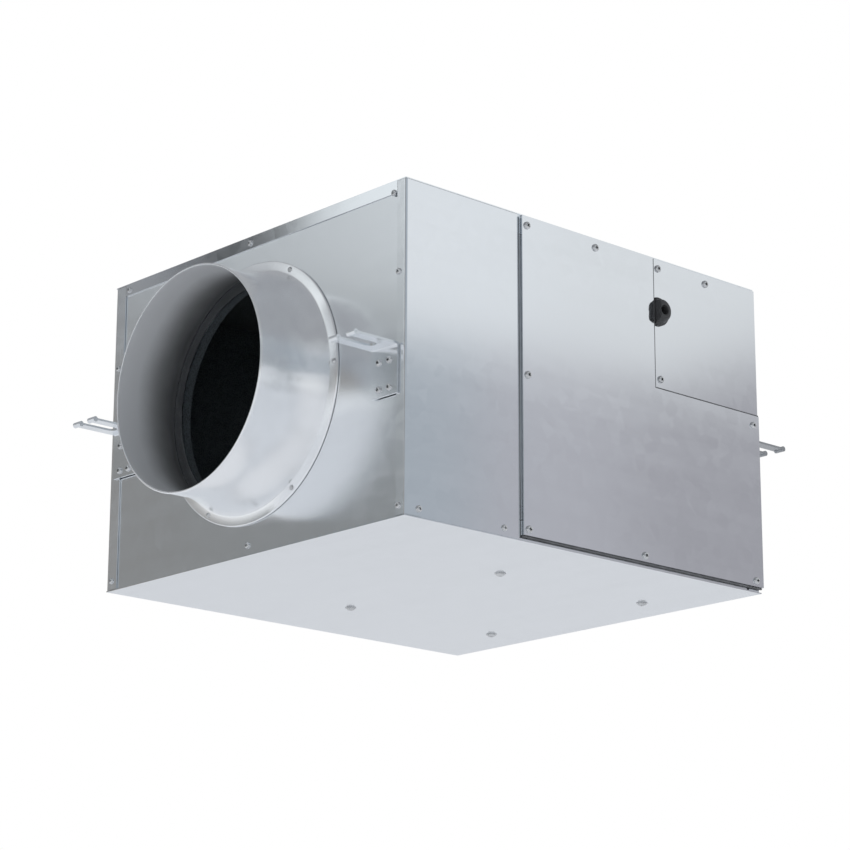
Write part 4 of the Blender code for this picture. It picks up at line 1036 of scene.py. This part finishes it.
class DUCTFAN_OT_stage(Maker, bpy.types.Operator):
    """Set the floor, the studio light and the camera"""

    bl_idname = "duct_fan.stage"
    bl_label = "Stage"

    def execute(self, context):
        self.floor(context)
        self.surroundings(context)
        self.lights(context)
        self.camera(context)
        context.scene.view_settings.view_transform = "Standard"
        return {"FINISHED"}

    def floor(self, context):
        bm = bmesh.new()
        bmesh.ops.create_grid(bm, x_segments=1, y_segments=1, size=40)
        mesh = bpy.data.meshes.new("floor")
        bm.to_mesh(mesh)
        bm.free()
        s = Shader("pale_floor")
        s.paint(s.noise(3, 2), ((0.3, (0.70, 0.71, 0.73)), (0.7, (0.73, 0.74, 0.76))))
        s.set(roughness=0.7)
        mesh.materials.append(s.material)
        floor = bpy.data.objects.new("floor", mesh)
        floor.location.z = -context.scene.duct_fan_stage.floor_drop
        context.scene.collection.objects.link(floor)

    def surroundings(self, context):
        """A pale room: a bright band over a darker wall on both sides, seen only by reflection."""
        world = bpy.data.worlds.new("pale_room")
        context.scene.world = world
        world.use_nodes = True
        world.node_tree.nodes.clear()
        n = Nodes(world.node_tree)
        split = n.add("ShaderNodeSeparateXYZ")
        n.join(n.add("ShaderNodeTexCoord").outputs["Generated"], split.inputs[0])
        x, y, z = split.outputs
        bearing = n.maths("ARCTAN2", y, x)

        def turn(low, high):
            return n.step(bearing, math.radians(low), math.radians(high))

        front_low = n.mix(turn(FRONT_BEARING, -45.6), (0.405, 0.445, 0.490), (0.468, 0.466, 0.505))
        front_low = n.mix(turn(-44.0, -42.4), front_low, (0.375, 0.370, 0.400))
        front_high = n.mix(turn(-46.6, -43.0), (0.82, 0.845, 0.87), (0.77, 0.79, 0.805))
        past = n.maths("SUBTRACT", bearing, math.radians(FRONT_BEARING))
        tilt = n.maths("MULTIPLY", past, FRONT_BREAK_TILT)
        front_edge = n.maths("SUBTRACT", n.maths("SUBTRACT", z, FRONT_BREAK), tilt)
        front_band = n.step(front_edge, -FRONT_BREAK_BLUR, FRONT_BREAK_BLUR)
        front_wall = n.mix(front_band, front_low, front_high)

        back_low = n.mix(turn(126.8, 129.6), (0.285, 0.272, 0.260), (0.250, 0.272, 0.285))
        back_high = n.mix(turn(128.9, 130.6), (0.33, 0.345, 0.37), (0.900, 0.940, 0.960))
        back_wall = n.mix(n.step(z, *BACK_BREAK), back_low, back_high)
        off_spot = n.maths("SUBTRACT", bearing, math.radians(DARK_SPOT[0]))
        aside = n.maths("DIVIDE", off_spot, math.radians(DARK_SPOT_SIZE[0]))
        above = n.maths("DIVIDE", n.maths("SUBTRACT", z, DARK_SPOT[1]), DARK_SPOT_SIZE[1])
        far = n.maths("ADD", n.maths("MULTIPLY", aside, aside), n.maths("MULTIPLY", above, above))
        back_wall = n.mix(n.step(far, 0.35, 1.15), (0.02, 0.021, 0.022), back_wall)

        skirt, ceiling = (0.880, 0.895, 0.910), (0.36, 0.367, 0.385)
        front = n.step(n.maths("SUBTRACT", x, y), -0.3, 0.3)
        walls = n.mix(n.step(z, *SKIRT_BREAK), skirt, n.mix(front, back_wall, front_wall))
        room = n.mix(n.step(z, *CEILING_BREAK), walls, ceiling)
        seen = n.mix(n.add("ShaderNodeLightPath").outputs["Is Camera Ray"], room, (1.0, 1.0, 1.0))
        background = n.add("ShaderNodeBackground")
        n.join(seen, background.inputs["Color"])
        n.join(background.outputs[0], n.add("ShaderNodeOutputWorld").inputs["Surface"])

    def lights(self, context):
        lamp = bpy.data.lights.new("overhead", "SUN")
        lamp.energy = 2.0
        lamp.angle = math.radians(30)
        sun = bpy.data.objects.new("overhead", lamp)
        sun.rotation_euler = (math.radians(-8), math.radians(10), 0)
        sun.visible_glossy = False
        context.scene.collection.objects.link(sun)

    def camera(self, context):
        stage = context.scene.duct_fan_stage
        data = bpy.data.cameras.new("camera")
        data.lens = stage.lens
        data.sensor_width = 36
        data.clip_end = 200
        camera = bpy.data.objects.new("camera", data)
        place, target = Vector(stage.camera_place), Vector(stage.camera_target)
        aim = (target - place).to_track_quat("-Z", "Y").to_matrix().to_4x4()
        camera.matrix_world = Matrix.Translation(place) @ aim @ Matrix.Rotation(-stage.roll, 4, "Z")
        context.scene.collection.objects.link(camera)
        context.scene.camera = camera


OPERATORS = (
    DUCTFAN_OT_casing,
    DUCTFAN_OT_collars,
    DUCTFAN_OT_brackets,
    DUCTFAN_OT_access_side,
    DUCTFAN_OT_blower,
    DUCTFAN_OT_motor,
    DUCTFAN_OT_electrics,
    DUCTFAN_OT_lining,
    DUCTFAN_OT_stage,
)


class DUCTFAN_PT_sidebar(bpy.types.Panel):
    """The fan's pieces, in the order they are made"""

    bl_idname = "DUCTFAN_PT_sidebar"
    bl_label = "Inline Duct Fan"
    bl_space_type = "VIEW_3D"
    bl_region_type = "UI"
    bl_category = "Duct Fan"

    def draw(self, context):
        for operator in OPERATORS:
            self.layout.operator(operator.bl_idname)


SETTINGS = (
    ("duct_fan_finishes", DuctFanFinishes),
    ("duct_fan_hardware", DuctFanHardware),
    ("duct_fan_stage", DuctFanStage),
)
CLASSES = (*(group for _, group in SETTINGS), *OPERATORS, DUCTFAN_PT_sidebar)


def register():
    for cls in CLASSES:
        bpy.utils.register_class(cls)
    for name, group in SETTINGS:
        setattr(bpy.types.Scene, name, PointerProperty(type=group))


def unregister():
    for name, _ in SETTINGS:
        delattr(bpy.types.Scene, name)
    for cls in reversed(CLASSES):
        bpy.utils.unregister_class(cls)


def main():
    register()
    bpy.ops.duct_fan.casing()
    bpy.ops.duct_fan.collars()
    bpy.ops.duct_fan.brackets()
    bpy.ops.duct_fan.access_side()
    bpy.ops.duct_fan.blower()
    bpy.ops.duct_fan.motor()
    bpy.ops.duct_fan.electrics()
    bpy.ops.duct_fan.lining()
    bpy.ops.duct_fan.stage()


if __name__ == "__main__":
    main()
